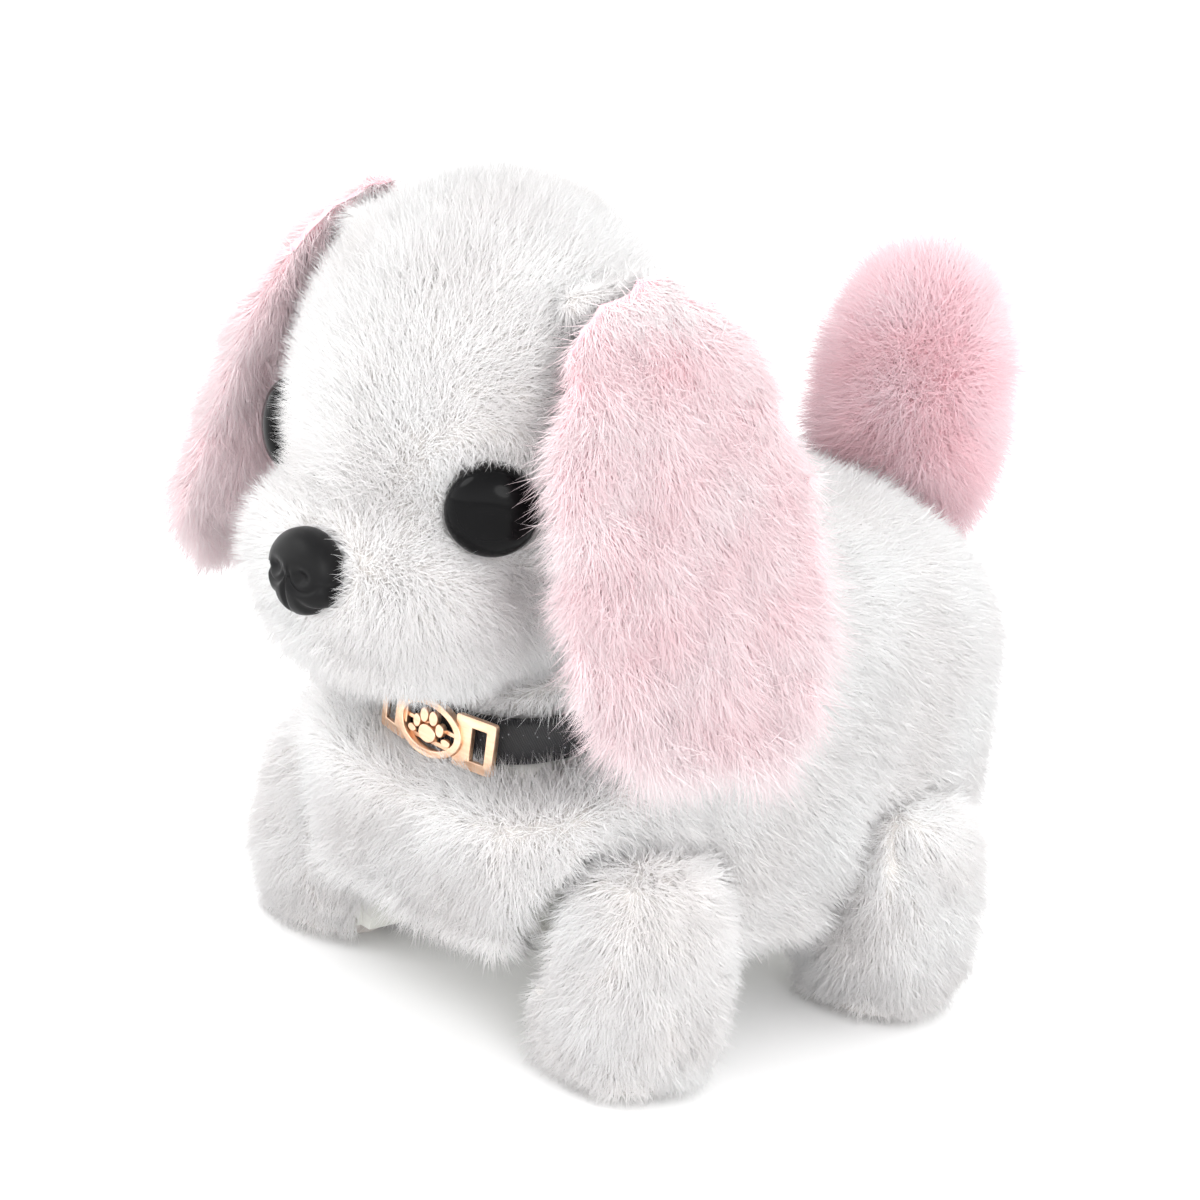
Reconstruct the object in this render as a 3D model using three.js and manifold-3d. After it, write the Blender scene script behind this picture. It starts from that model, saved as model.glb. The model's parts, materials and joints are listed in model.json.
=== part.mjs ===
// A battery-driven walking plush puppy: plush covers over a plastic gearbox, in millimetres.
// +Z is up, the puppy faces -Y, its left is +X, and the floor under its feet is z = 0.
import * as THREE from 'three';
import { mergeVertices } from 'three/addons/utils/BufferGeometryUtils.js';
import Module from 'manifold-3d';

const wasm = await Module();
wasm.setup();

// ---------------------------------------------------------------- driving dimensions
const GAP = 0.35; // room between neighbouring pieces
const FLEX_GAP = 1.2; // room round soft pieces that move
const ROUND = [2, 2, 2]; // powers of a plain ellipsoid

// Soft body: a long rounded box with a slanted neck seat
const BODY_CENTRE = [0, 1.5, 57.5];
const BODY_HALF = [43, 59, 35.5];
const BODY_LOW = 46; // the lower half would reach this far down if the belly did not cut it
const BELLY_Z = 19.6;
const BODY_POWERS = [4, 2.6, 6];
const NECK_Y = -31;
const NECK_Z = 65.7;
const NECK_SLOPE = 0.78;

// Head: a tall egg with a short wide muzzle, nodding on the neck pin
const HEAD_CENTRE = [0, -47, 105];
const HEAD_HALF = [34.5, 31.5, 40.5];
const MUZZLE_CENTRE = [0, -66, 82];
const MUZZLE_HALF = [28.5, 16.5, 16.5];
const SKULL_CENTRE = [0, -46, 105];
const SKULL_HALF = [24.4, 21.4, 27.4];
const SHELL_WALL = 1.8;
const NOD_PIVOT = [0, -36, 80];
const NOD_LIMITS = [-4, 8];
const EYE_AT = [25.6, -67.4, 99.2];
const EYE_RADIUS = 7.5;
const EYE_HEIGHT = 4.2;
const EYE_RIM = 1.2;
const NOSE_AT = [0, -82, 83.4];
const NOSE_STEM = 9;
const EYE_STEM = 14.6;

// Ears: long bent pads hanging from the sides of the head
const EAR_ROOT = [31, -46, 135];
const EAR_RISE = 6; // how far the pad stands above its root
const EAR_LENGTH = 80;
const EAR_HALF_WIDTH = 27;
const EAR_HALF_THICKNESS = 6.5;
const EAR_FLARE = 30; // how far out the lower end stands from the root
const EAR_FLARE_POWER = 0.8;
const EAR_TWIST = 0.25; // how far the rear edge turns outwards for each millimetre across
const EAR_LEAN = 4; // how far the middle of the pad bows
const EAR_OUTLINE_POWER = 3;
const EAR_EDGE_POWER = 2.4;

// Collar: a strap round the neck with a plate at the throat
const COLLAR_HALF_X = 29;
const COLLAR_HALF_Y = 17.5;
const COLLAR_HALF_WIDTH = 3.6;
const COLLAR_THICKNESS = 1.6;
const PLATE_HALF_WIDTH = 14;
const PLATE_HALF_HEIGHT = 4.2;
const PLATE_BAR = 2.4;
const MEDALLION_RADIUS = 5.2;

// Chassis: a two-part box, battery bay below and gearbox above
const CHASSIS_HALF_WIDTH = 20;
const CHASSIS_FRONT = -46;
const CHASSIS_BACK = 54;
const CHASSIS_FLOOR = 20;
const CHASSIS_SPLIT = 40;
const CHASSIS_ROOF = 58;
const WALL = 1.8;
const BAY_FRONT = -6.5;
const BAY_BACK = 50.4;
const BAY_HALF_WIDTH = 16.4;
const BAY_ROOF = 38.4;

// Battery door, its screw and the on-off switch
const DOOR_HALF = 17.4;
const DOOR_FRONT = -8.4;
const DOOR_BACK = CHASSIS_BACK - 0.2;
const DOOR_BOTTOM = 18.6;
const DOOR_TOP = 20.6;
const DOOR_SCREW_RADIUS = 0.9;
const DOOR_SCREW_Y = BAY_BACK + 1.8;
const SWITCH_Y = -15.6;
const SPEAKER_Y = -33.4;

// AA cells
const CELL_RADIUS = 7.1;
const CELL_LENGTH = 49.3;
const CELL_X = 7.8;
const CELL_Z = 30.4;

// Legs: four levers swinging on screws in the chassis sides, in layers outward from its wall
const FRONT_LEG_Y = -34;
const REAR_LEG_Y = 30;
const LEG_PIVOT_Z = 30;
const LEG_SWING = 12;
const LEVER_LAYER = [23.5, 26.5];
const LINK_LAYER = [27, 28.6];
const CRANK_LAYER = [20.6, 22.6];
const MECHANISM_HALF_WIDTH = 30;
const LINK_ARM = 7;
const LINK_PIN_RADIUS = 1.2;
const FOOT_X = 37;
const FOOT_END = 45;
const FOOT_START = 26;
const FOOT_HALF = 7;
const FOOT_FLOOR = 3.2;
const FOOT_TOP = 8;
const LEVER_ARM_HALF = 4.5;
const CRANK_SLOT_HALF = 1.6;
const PAW_CENTRE_Z = 22;
const FRONT_PAW_HALF = [15.5, 15.5, 21];
const REAR_PAW_HALF = [14.5, 15.5, 21];
const PAW_POWERS = [3, 2.4, 5];
const PAD_RADIUS = 8.5;
const PAD_THICKNESS = 2.8;
const SCREW_RADIUS = 1.4;

// Gear train, all of one module, turning about axles along X
const MODULE = 0.75;
const SMALL_TEETH = 8;
const CRANK_Z = LEG_PIVOT_Z + 15;
const CRANK_THROW = 3.1;
const CRANK_TEETH = 24;
const THIRD_TEETH = 24;
const WHEEL_TEETH = 18;
const MOTOR_AXLE = [9.31, 47.9];
const MOTOR_SPAN = [-15, 6.5];
const MOTOR_RADIUS = 10;
const AXLE_RADIUS = 1;
const SHAFT_RADIUS = 2;
const CRANK_AXLE = [FRONT_LEG_Y, CRANK_Z];
const FIRST_AXLE = [MOTOR_AXLE[0] - pitchRadius(SMALL_TEETH + WHEEL_TEETH), MOTOR_AXLE[1] + 0.1];
const SECOND_AXLE = [FIRST_AXLE[0] - pitchRadius(SMALL_TEETH + WHEEL_TEETH), FIRST_AXLE[1]];
const THIRD_AXLE = meetingPoint(
  CRANK_AXLE,
  pitchRadius(SMALL_TEETH + CRANK_TEETH),
  SECOND_AXLE,
  pitchRadius(SMALL_TEETH + THIRD_TEETH),
);

// Gear planes along X, from the motor's end inwards
const MOTOR_PLANE = [11.4, 14];
const SECOND_PLANE = [8, 10.6];
const THIRD_PLANE = [4.6, 7.2];
const CRANK_PLANE = [1.2, 3.8];
const OUTER_CHEEK = [14.7, 16];
const INNER_CHEEK = [-1.6, -0.4];

// Tail: a fluffy upright tuft on a lever that rocks from side to side
const TAIL_PIVOT = [0, 50, 66];
const TAIL_SWING = 18;
const TAIL_CENTRE = [0, 58.5, 99];
const TAIL_HALF = [16.5, 16.5, 28.5];
const TAIL_STEM_TOP = 112;
const PIN_RADIUS = 1.5; // of the neck pin and the tail pin

// ---------------------------------------------------------------- solids
function toSolid(geometry) {
  const bare = geometry.clone();
  bare.deleteAttribute('normal');
  bare.deleteAttribute('uv');
  const merged = mergeVertices(bare, 1e-4);
  const vertProperties = new Float32Array(merged.getAttribute('position').array);
  const triVerts = new Uint32Array(merged.index.array);
  return new wasm.Manifold(new wasm.Mesh({ numProp: 3, vertProperties, triVerts }));
}

function toGeometry(solid) {
  const { vertProperties, triVerts } = solid.getMesh();
  const geometry = new THREE.BufferGeometry();
  geometry.setAttribute('position', new THREE.BufferAttribute(vertProperties, 3));
  geometry.setIndex(new THREE.BufferAttribute(triVerts, 1));
  geometry.computeVertexNormals();
  return geometry;
}

function box(x, y, z) {
  const geometry = new THREE.BoxGeometry(x[1] - x[0], y[1] - y[0], z[1] - z[0]);
  geometry.translate((x[0] + x[1]) / 2, (y[0] + y[1]) / 2, (z[0] + z[1]) / 2);
  return toSolid(geometry);
}

// A cylinder along one axis, from one coordinate on it to another; centre gives the other two
function rod(axis, radius, span, centre, sides = 12) {
  const geometry = new THREE.CylinderGeometry(radius, radius, span[1] - span[0], sides);
  const middle = (span[0] + span[1]) / 2;
  if (axis === 'x') {
    geometry.rotateZ(-Math.PI / 2).translate(middle, centre[0], centre[1]);
  } else if (axis === 'y') {
    geometry.translate(centre[0], middle, centre[1]);
  } else {
    geometry.rotateX(Math.PI / 2).translate(centre[0], centre[1], middle);
  }
  return toSolid(geometry);
}

// The length of (a, b) with another power than 2 in Pythagoras
function powerLength(a, b, power) {
  return (Math.abs(a) ** power + Math.abs(b) ** power) ** (1 / power);
}

// A rounded solid between an ellipsoid (powers of 2) and a box (high powers); powers are
// [in plan, of the upper half, of the lower half], and low is the lower half's own height
function blob(centre, half, powers = [2, 2, 2], sides = 18, rows = 11, low = half[2]) {
  const geometry = new THREE.SphereGeometry(1, sides, rows);
  geometry.rotateX(Math.PI / 2);
  const points = geometry.getAttribute('position');
  const p = new THREE.Vector3();
  for (let i = 0; i < points.count; i++) {
    p.fromBufferAttribute(points, i);
    const flat = powerLength(p.x, p.y, powers[0]);
    p.divideScalar(powerLength(flat, p.z, p.z > 0 ? powers[1] : powers[2]));
    const height = p.z * (p.z > 0 ? half[2] : low);
    points.setXYZ(i, centre[0] + p.x * half[0], centre[1] + p.y * half[1], centre[2] + height);
  }
  return toSolid(geometry);
}

// A flat plate: an outline in the YZ plane, pushed along X
function plate(outline, x) {
  const depth = x[1] - x[0];
  const geometry = new THREE.ExtrudeGeometry(outline, { depth, bevelEnabled: false, curveSegments: 6 });
  const toYZ = new THREE.Matrix4().makeBasis(
    new THREE.Vector3(0, 1, 0),
    new THREE.Vector3(0, 0, 1),
    new THREE.Vector3(1, 0, 0),
  );
  geometry.applyMatrix4(toYZ).translate(x[0], 0, 0);
  return toSolid(geometry);
}

const polygon = (points) => new THREE.Shape(points.map(([y, z]) => new THREE.Vector2(y, z)));
const grown = (half, by) => half.map((side) => side + by);
const grownSpan = ([low, high], by) => [low - by, high + by];
const joined = (solids) => solids.reduce((whole, solid) => whole.add(solid));
const cutFrom = (solid, cutters) => cutters.reduce((rest, cutter) => rest.subtract(cutter), solid);
const mirrorX = (solid, side) => (side > 0 ? solid : solid.mirror([1, 0, 0]));
const overAngles = (limits, steps) =>
  Array.from({ length: steps }, (_, i) => limits[0] + ((limits[1] - limits[0]) * i) / (steps - 1));

// The room a solid needs while it turns about a pivot
function swept(solid, pivot, turn, angles) {
  const back = pivot.map((value) => -value);
  return angles.map((angle) => solid.translate(back).rotate(turn(angle)).translate(pivot));
}

// ---------------------------------------------------------------- materials and the scene
function material(color, roughness, metalness = 0) {
  return new THREE.MeshStandardMaterial({ color, roughness, metalness });
}

const materials = {
  whitePlush: () => material(0xf4f1f0, 0.95),
  pinkPlush: () => material(0xf9c3cc, 0.95),
  whitePlastic: () => material(0xe9e9e4, 0.5),
  greyPlastic: () => material(0xa9adb2, 0.5),
  gearPlastic: () => material(0xf2ead2, 0.4),
  blackGloss: () => material(0x141414, 0.12),
  blackStrap: () => material(0x17171a, 0.6),
  steel: () => material(0xc7c9cc, 0.3, 1),
  roseGold: () => material(0xe2a98a, 0.25, 1),
  cell: () => material(0x33506e, 0.4, 0.4),
  board: () => material(0x1d6b3c, 0.5),
  rubber: () => material(0xd8d4d0, 0.8),
};

const puppy = new THREE.Group();

function addPart(parent, name, solid, makeMaterial) {
  const mesh = new THREE.Mesh(toGeometry(solid), makeMaterial());
  mesh.name = name;
  parent.add(mesh);
  return mesh;
}

function addGroup(parent, position) {
  const group = new THREE.Group();
  group.position.set(...position);
  parent.add(group);
  return group;
}

const fromPivot = (solid, pivot) => solid.translate(pivot.map((value) => -value));

// ---------------------------------------------------------------- legs
const pawHalf = (y) => (y < 0 ? FRONT_PAW_HALF : REAR_PAW_HALF);
const pawCentre = (y) => [FOOT_X - (y < 0 ? 0 : 1), y, PAW_CENTRE_Z];

// The upper arm of a front lever, with the slot that the crank pin works in
function crankArm(y) {
  const half = LEVER_ARM_HALF - 0.5;
  const arm = box(LEVER_LAYER, [y - half, y + half], [LEG_PIVOT_Z, CRANK_Z + CRANK_THROW + 3]);
  const slotSpan = [CRANK_Z - CRANK_THROW - CRANK_SLOT_HALF, CRANK_Z + CRANK_THROW + 1];
  const slot = box([20, 30], [y - CRANK_SLOT_HALF, y + CRANK_SLOT_HALF], slotSpan);
  return { arm, slot };
}

function legLever(y) {
  const linkPin = [LEVER_LAYER[1] - 1, LINK_LAYER[1] - 0.2];
  const solids = [
    rod('x', 5.5, LEVER_LAYER, [y, LEG_PIVOT_Z]),
    box(LEVER_LAYER, [y - LEVER_ARM_HALF, y + LEVER_ARM_HALF], [FOOT_FLOOR, LEG_PIVOT_Z]),
    box([FOOT_START, FOOT_END], [y - FOOT_HALF, y + FOOT_HALF], [FOOT_FLOOR, FOOT_TOP]),
    rod('x', 3, LEVER_LAYER, [y, LEG_PIVOT_Z + LINK_ARM]),
    rod('x', LINK_PIN_RADIUS, linkPin, [y, LEG_PIVOT_Z + LINK_ARM]),
  ];
  const cutters = [rod('x', SCREW_RADIUS + GAP, [20, 30], [y, LEG_PIVOT_Z])];
  if (y < 0) {
    const { arm, slot } = crankArm(y);
    solids.push(arm);
    cutters.push(slot);
  }
  return cutFrom(joined(solids), cutters);
}

function legPad(y, grow = 0) {
  return rod('z', PAD_RADIUS + grow, [-grow, PAD_THICKNESS + grow], pawCentre(y).slice(0, 2), 20);
}

function legSleeve(y) {
  const outer = blob(pawCentre(y), pawHalf(y), PAW_POWERS, 14, 8);
  const sleeveTop = 17;
  const armHalf = LEVER_ARM_HALF + GAP;
  const footHalf = FOOT_HALF + GAP;
  const legRoom = joined([
    box([0, MECHANISM_HALF_WIDTH], [y - 30, y + 30], [sleeveTop - 1, 60]),
    box(grownSpan(LEVER_LAYER, GAP), [y - armHalf, y + armHalf], [PAD_THICKNESS, sleeveTop]),
    box([FOOT_START - GAP, FOOT_END + GAP], [y - footHalf, y + footHalf], [PAD_THICKNESS, FOOT_TOP + GAP]),
    legPad(y, GAP),
  ]);
  return outer.subtract(legRoom);
}

function legScrew(y) {
  const head = rod('x', 3, [LEVER_LAYER[1] + GAP, LEVER_LAYER[1] + 1.9], [y, LEG_PIVOT_Z]);
  const shank = rod('x', SCREW_RADIUS, [CHASSIS_HALF_WIDTH - 1.4, LEVER_LAYER[1] + 1], [y, LEG_PIVOT_Z]);
  const recess = rod('x', 1, [LEVER_LAYER[1] + 1.3, LEVER_LAYER[1] + 3], [y, LEG_PIVOT_Z], 4);
  return head.add(shank).subtract(recess);
}

function addLeg(name, y, side) {
  const pivot = [0, y, LEG_PIVOT_Z];
  const leg = addGroup(puppy, pivot);
  const place = (solid) => fromPivot(mirrorX(solid, side), pivot);
  addPart(leg, `${name}_leg_lever`, place(legLever(y)), materials.whitePlastic);
  addPart(leg, `${name}_leg_plush`, place(legSleeve(y)), materials.whitePlush);
  addPart(leg, `${name}_sole_pad`, place(legPad(y)), materials.rubber);
  addPart(puppy, `${name}_leg_screw`, mirrorX(legScrew(y), side), materials.steel);
}

function legLink() {
  const z = LEG_PIVOT_Z + LINK_ARM;
  const holes = [FRONT_LEG_Y, REAR_LEG_Y].map((y) => rod('x', LINK_PIN_RADIUS + GAP, [20, 40], [y, z]));
  const ends = [FRONT_LEG_Y, REAR_LEG_Y].map((y) => rod('x', 2.6, LINK_LAYER, [y, z]));
  const bar = box(LINK_LAYER, [FRONT_LEG_Y, REAR_LEG_Y], [z - 2, z + 2]);
  return cutFrom(joined([bar, ...ends]), holes);
}

// ---------------------------------------------------------------- body cover
function neckRing(inner, outer, halfHeight, sides = 24) {
  const corners = [[inner, -1], [outer, -1], [outer, 1], [inner, 1], [inner, -1]];
  const profile = corners.map(([out, up]) => new THREE.Vector2(COLLAR_HALF_X + out, up * halfHeight));
  const geometry = new THREE.LatheGeometry(profile, sides);
  geometry.rotateX(Math.PI / 2);
  const points = geometry.getAttribute('position');
  for (let i = 0; i < points.count; i++) {
    const [x, y, z] = [points.getX(i), points.getY(i), points.getZ(i)];
    const squeezed = y * (COLLAR_HALF_Y / COLLAR_HALF_X);
    points.setXYZ(i, x, NECK_Y + squeezed, NECK_Z + z + squeezed * NECK_SLOPE);
  }
  return toSolid(geometry);
}

// Everything above the slanted seat that the head and the collar sit on
function aboveNeckSeat() {
  const seatZ = (y) => NECK_Z - COLLAR_HALF_WIDTH + NECK_SLOPE * (y - NECK_Y);
  const [front, back, sky] = [-90, 20, 160];
  const outline = [[front, seatZ(front)], [back, seatZ(back)], [back, sky], [front, sky]];
  return plate(polygon(outline), [-60, 60]);
}

function neckStub() {
  const geometry = new THREE.CylinderGeometry(1, 1, 34, 24);
  geometry.rotateX(Math.PI / 2);
  geometry.scale(COLLAR_HALF_X - 0.6, COLLAR_HALF_Y - 0.6, 1);
  geometry.translate(0, NECK_Y, NECK_Z - 2);
  const tooLow = aboveNeckSeat().translate([0, 0, -3]);
  const tooHigh = aboveNeckSeat().translate([0, 0, 14]);
  return toSolid(geometry).intersect(tooLow).subtract(tooHigh);
}

function headOutside(grow, sides = 20, rows = 12) {
  const head = blob(HEAD_CENTRE, grown(HEAD_HALF, grow), ROUND, sides, rows);
  const muzzle = blob(MUZZLE_CENTRE, grown(MUZZLE_HALF, grow), [2.2, 2.2, 2.2], sides - 4, rows - 4);
  return head.add(muzzle);
}

function bodyCavity() {
  const side = FLEX_GAP;
  const [front, back] = [CHASSIS_FRONT - side, CHASSIS_BACK + side];
  const roof = CHASSIS_ROOF + side;
  const chamfer = [[front + 10, roof], [front, roof - 7.6]];
  const chassisRoom = polygon([[front, 0], [back, 0], [back, roof], ...chamfer]);
  const half = CHASSIS_HALF_WIDTH + 0.8;
  const wide = MECHANISM_HALF_WIDTH;
  const linkLow = LEG_PIVOT_Z + LINK_ARM - 5;
  const crankTop = CRANK_Z + CRANK_THROW + 4.2;
  return joined([
    plate(chassisRoom, [-half, half]),
    box([-wide, wide], [-44, -18], [0, crankTop]),
    box([-wide, wide], [16, 41], [0, crankTop]),
    box([-wide, wide], [-20, 20], [linkLow, crankTop]),
    box([-10, 10], [-42.8, -28], [50, 90]),
    box([-9, 9], [42.5, 57], [55, 76]),
  ]);
}

function bodyCover() {
  const shape = blob(BODY_CENTRE, BODY_HALF, BODY_POWERS, 24, 14, BODY_LOW);
  const belowBelly = box([-60, 60], [-80, 80], [0, BELLY_Z]);
  const trunk = cutFrom(shape, [aboveNeckSeat(), belowBelly]).add(neckStub());
  const aboutX = (angle) => [angle, 0, 0];
  const legRoom = [FRONT_LEG_Y, REAR_LEG_Y].flatMap((y) => {
    const paw = blob(pawCentre(y), grown(pawHalf(y), FLEX_GAP), PAW_POWERS, 12, 8);
    const rooms = swept(paw, [0, y, LEG_PIVOT_Z], aboutX, overAngles([-LEG_SWING, LEG_SWING], 2));
    return rooms.flatMap((room) => [room, room.mirror([1, 0, 0])]);
  });
  const head = headOutside(FLEX_GAP + 0.6, 14, 10);
  const headRoom = swept(head, NOD_PIVOT, aboutX, overAngles(NOD_LIMITS, 2));
  const tail = blob(TAIL_CENTRE, grown(TAIL_HALF, FLEX_GAP), ROUND, 14, 10);
  const tailRoom = swept(tail, TAIL_PIVOT, (a) => [0, a, 0], overAngles([-TAIL_SWING, TAIL_SWING], 3));
  return cutFrom(trunk, [bodyCavity(), ...legRoom, ...headRoom, ...tailRoom]);
}

// ---------------------------------------------------------------- chassis
function legBosses(outerRadius, innerEnd) {
  return [FRONT_LEG_Y, REAR_LEG_Y].flatMap((y) =>
    [1, -1].map((side) => {
      const span = [innerEnd, LEVER_LAYER[0] - GAP];
      return mirrorX(rod('x', outerRadius, span, [y, LEG_PIVOT_Z]), side);
    }),
  );
}

function chassisLower() {
  const half = CHASSIS_HALF_WIDTH;
  const top = CHASSIS_SPLIT - GAP / 2;
  const inside = half - WALL;
  const tray = box([-half, half], [CHASSIS_FRONT, CHASSIS_BACK], [CHASSIS_FLOOR, top]).subtract(
    box([-inside, inside], [CHASSIS_FRONT + WALL, CHASSIS_BACK - WALL], [CHASSIS_FLOOR + WALL, top + 1]),
  );
  const bayShell = box([-half, half], [BAY_FRONT - 1.4, CHASSIS_BACK], [CHASSIS_FLOOR, BAY_ROOF + 1.2]);
  const bay = box([-BAY_HALF_WIDTH, BAY_HALF_WIDTH], [BAY_FRONT, BAY_BACK], [0, BAY_ROOF]);
  const doorRecess = box([-DOOR_HALF - GAP, DOOR_HALF + GAP], [DOOR_FRONT - GAP, 60], [0, DOOR_TOP + GAP]);
  const grille = [-3, 0, 3].map((x) => box([x * 2 - 1, x * 2 + 1], [-39, -28], [0, 24]));
  const screwHoles = legBosses(SCREW_RADIUS + GAP, half - WALL);
  return cutFrom(joined([tray, bayShell, ...legBosses(3.2, half - 0.2)]), [
    bay,
    doorRecess,
    ...grille,
    ...screwHoles,
    box([-2.2, 2.2], [SWITCH_Y - 4.4, SWITCH_Y + 4.4], [0, 24]),
    rod('z', DOOR_SCREW_RADIUS + GAP, [0, 36], [0, DOOR_SCREW_Y]),
  ]);
}

function chassisUpper() {
  const half = CHASSIS_HALF_WIDTH;
  const floor = CHASSIS_SPLIT + GAP / 2;
  const outline = (inset) => polygon([
    [CHASSIS_FRONT + inset, floor - (inset ? 1 : 0)],
    [CHASSIS_BACK - inset, floor - (inset ? 1 : 0)],
    [CHASSIS_BACK - inset, CHASSIS_ROOF - inset],
    [CHASSIS_FRONT + 8, CHASSIS_ROOF - inset],
    [CHASSIS_FRONT + inset, CHASSIS_ROOF - 6 - inset / 2],
  ]);
  const lid = plate(outline(0), [-half, half]).subtract(plate(outline(WALL), [WALL - half, half - WALL]));
  const [, pivotY, pivotZ] = NOD_PIVOT;
  const neckPost = joined([
    box([-5, 5], [pivotY - 4.5, pivotY + 4.5], [CHASSIS_ROOF - 1, pivotZ]),
    rod('x', 4.5, [-5, 5], [pivotY, pivotZ]),
  ]);
  const tailBoss = box([-5, 5], [44, 47.6], [CHASSIS_ROOF - 1, TAIL_PIVOT[2] + 5]);
  const holes = [
    rod('x', PIN_RADIUS + GAP, [-10, 10], [pivotY, pivotZ]),
    rod('y', PIN_RADIUS + GAP, [40, 50], [0, TAIL_PIVOT[2]]),
    rod('x', SHAFT_RADIUS + GAP, [-30, 30], CRANK_AXLE),
  ];
  const collarRoom = neckRing(-1.2, COLLAR_THICKNESS + 4, COLLAR_HALF_WIDTH + 1.2);
  return cutFrom(joined([lid, neckPost, tailBoss]), [...holes, collarRoom]);
}

function batteryDoor() {
  const panel = box([-DOOR_HALF, DOOR_HALF], [DOOR_FRONT, DOOR_BACK], [DOOR_BOTTOM, DOOR_TOP]);
  const ribs = [4, 16, 28, 40].map((y) => box([-12, 12], [y, y + 2], [DOOR_TOP - 1, DOOR_TOP + 1.4]));
  const screwHole = rod('z', DOOR_SCREW_RADIUS + GAP, [0, 30], [0, DOOR_SCREW_Y]);
  const headRecess = rod('z', 2.6 + GAP, [0, DOOR_BOTTOM + 0.9], [0, DOOR_SCREW_Y]);
  return cutFrom(joined([panel, ...ribs]), [screwHole, headRecess]);
}

function doorScrew() {
  const y = DOOR_SCREW_Y;
  const head = rod('z', 2.4, [DOOR_BOTTOM - 0.3, DOOR_BOTTOM + 0.7], [0, y], 16);
  const shank = rod('z', DOOR_SCREW_RADIUS, [DOOR_BOTTOM, DOOR_BOTTOM + 6], [0, y], 12);
  return head.add(shank).subtract(rod('z', 0.8, [0, DOOR_BOTTOM + 0.3], [0, y], 4));
}

// ---------------------------------------------------------------- power and electronics
function cell(x, flip) {
  const start = BAY_FRONT + 4.2;
  const nub = flip > 0 ? [start + CELL_LENGTH - 1, start + CELL_LENGTH + 1] : [start - 1, start + 1];
  const can = rod('y', CELL_RADIUS, [start, start + CELL_LENGTH], [x, CELL_Z], 24);
  return can.add(rod('y', 2.7, nub, [x, CELL_Z], 16));
}

function cellSpring() {
  class Coil extends THREE.Curve {
    getPoint(t) {
      const turn = t * 3 * 2 * Math.PI;
      const radius = 5 - 2 * t;
      const along = BAY_FRONT + 0.9 + 2.4 * t;
      return new THREE.Vector3(CELL_X + radius * Math.cos(turn), along, CELL_Z + radius * Math.sin(turn));
    }
  }
  const wire = polygon([[0.4, 0], [0, 0.4], [-0.4, 0], [0, -0.4]]);
  const path = { steps: 27, bevelEnabled: false, extrudePath: new Coil() };
  return toSolid(new THREE.ExtrudeGeometry(wire, path));
}

function crossPlate() {
  const y = BAY_BACK - 0.9;
  return box([-14, 14], [y, y + 0.5], [CELL_Z - 5, CELL_Z + 5]);
}

function switchBody() {
  const shell = box([-4, 4], [SWITCH_Y - 6.8, SWITCH_Y + 6.8], [22.2, 28]);
  return shell.subtract(box([-2, 2], [SWITCH_Y - 4.2, SWITCH_Y + 4.2], [20, 25]));
}

function switchKnob() {
  const offEnd = SWITCH_Y - 3.8;
  const slider = box([-1.6, 1.6], [offEnd, offEnd + 3.6], [18.6, 24.6]);
  return slider.add(box([-1.2, 1.2], [offEnd + 1, offEnd + 2.6], [18, 19]));
}

function circuitBoard() {
  const board = box([-15, 15], [27, 49], [44, 45.4]);
  const parts = [
    box([-6, 3], [32, 41], [45, 47.2]),
    box([6, 11], [30, 34], [45, 48]),
    rod('z', 2.6, [45, 51], [9, 43], 16),
    box([-13, -8], [42, 47], [45, 50]),
  ];
  return joined([board, ...parts]);
}

function speaker() {
  const basket = rod('z', 9.4, [22.2, 24.6], [0, SPEAKER_Y], 18);
  const magnet = rod('z', 5, [24, 28.4], [0, SPEAKER_Y]);
  return basket.add(magnet).subtract(rod('z', 8, [20, 23], [0, SPEAKER_Y], 18));
}

// ---------------------------------------------------------------- motor and gears
function pitchRadius(teeth) {
  return (teeth * MODULE) / 2;
}

// Point at given distances from two others, on the upper side
function meetingPoint([y0, z0], r0, [y1, z1], r1) {
  const apart = Math.hypot(y1 - y0, z1 - z0);
  const along = (r0 * r0 - r1 * r1 + apart * apart) / (2 * apart);
  const across = Math.sqrt(Math.max(r0 * r0 - along * along, 0));
  const [uy, uz] = [(y1 - y0) / apart, (z1 - z0) / apart];
  return [y0 + uy * along + uz * across, z0 + uz * along - uy * across];
}

function gearOutline(teeth, phase) {
  const pitch = pitchRadius(teeth);
  const [root, tip] = [pitch - 1.2 * MODULE, pitch + 0.8 * MODULE];
  const toothAngle = (2 * Math.PI) / teeth;
  const points = [];
  for (let i = 0; i < teeth; i++) {
    const middle = phase + i * toothAngle;
    const corners = [[root, -0.28], [tip, -0.1], [tip, 0.1], [root, 0.28]];
    for (const [radius, share] of corners) {
      const angle = middle + share * toothAngle;
      points.push(new THREE.Vector2(radius * Math.cos(angle), radius * Math.sin(angle)));
    }
  }
  return new THREE.Shape(points);
}

// Directions of a meshing pair: a tooth of one points where the other has a space
const towards = (from, to) => Math.atan2(to[1] - from[1], to[0] - from[0]);
const facingTooth = (from, to) => towards(from, to);
const facingSpace = (from, to, teeth) => towards(from, to) + Math.PI / teeth;

function compoundGear(teeth, wheelPlane, wheelPhase, pinionPlane, pinionPhase) {
  const span = [Math.min(wheelPlane[0], pinionPlane[0]), Math.max(wheelPlane[1], pinionPlane[1])];
  const hub = rod('x', 2, span, [0, 0], 10);
  const wheel = plate(gearOutline(teeth, wheelPhase), wheelPlane);
  const pinion = plate(gearOutline(SMALL_TEETH, pinionPhase), pinionPlane);
  const bore = rod('x', AXLE_RADIUS + GAP, [-30, 30], [0, 0], 10);
  return joined([hub, wheel, pinion]).subtract(bore);
}

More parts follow.
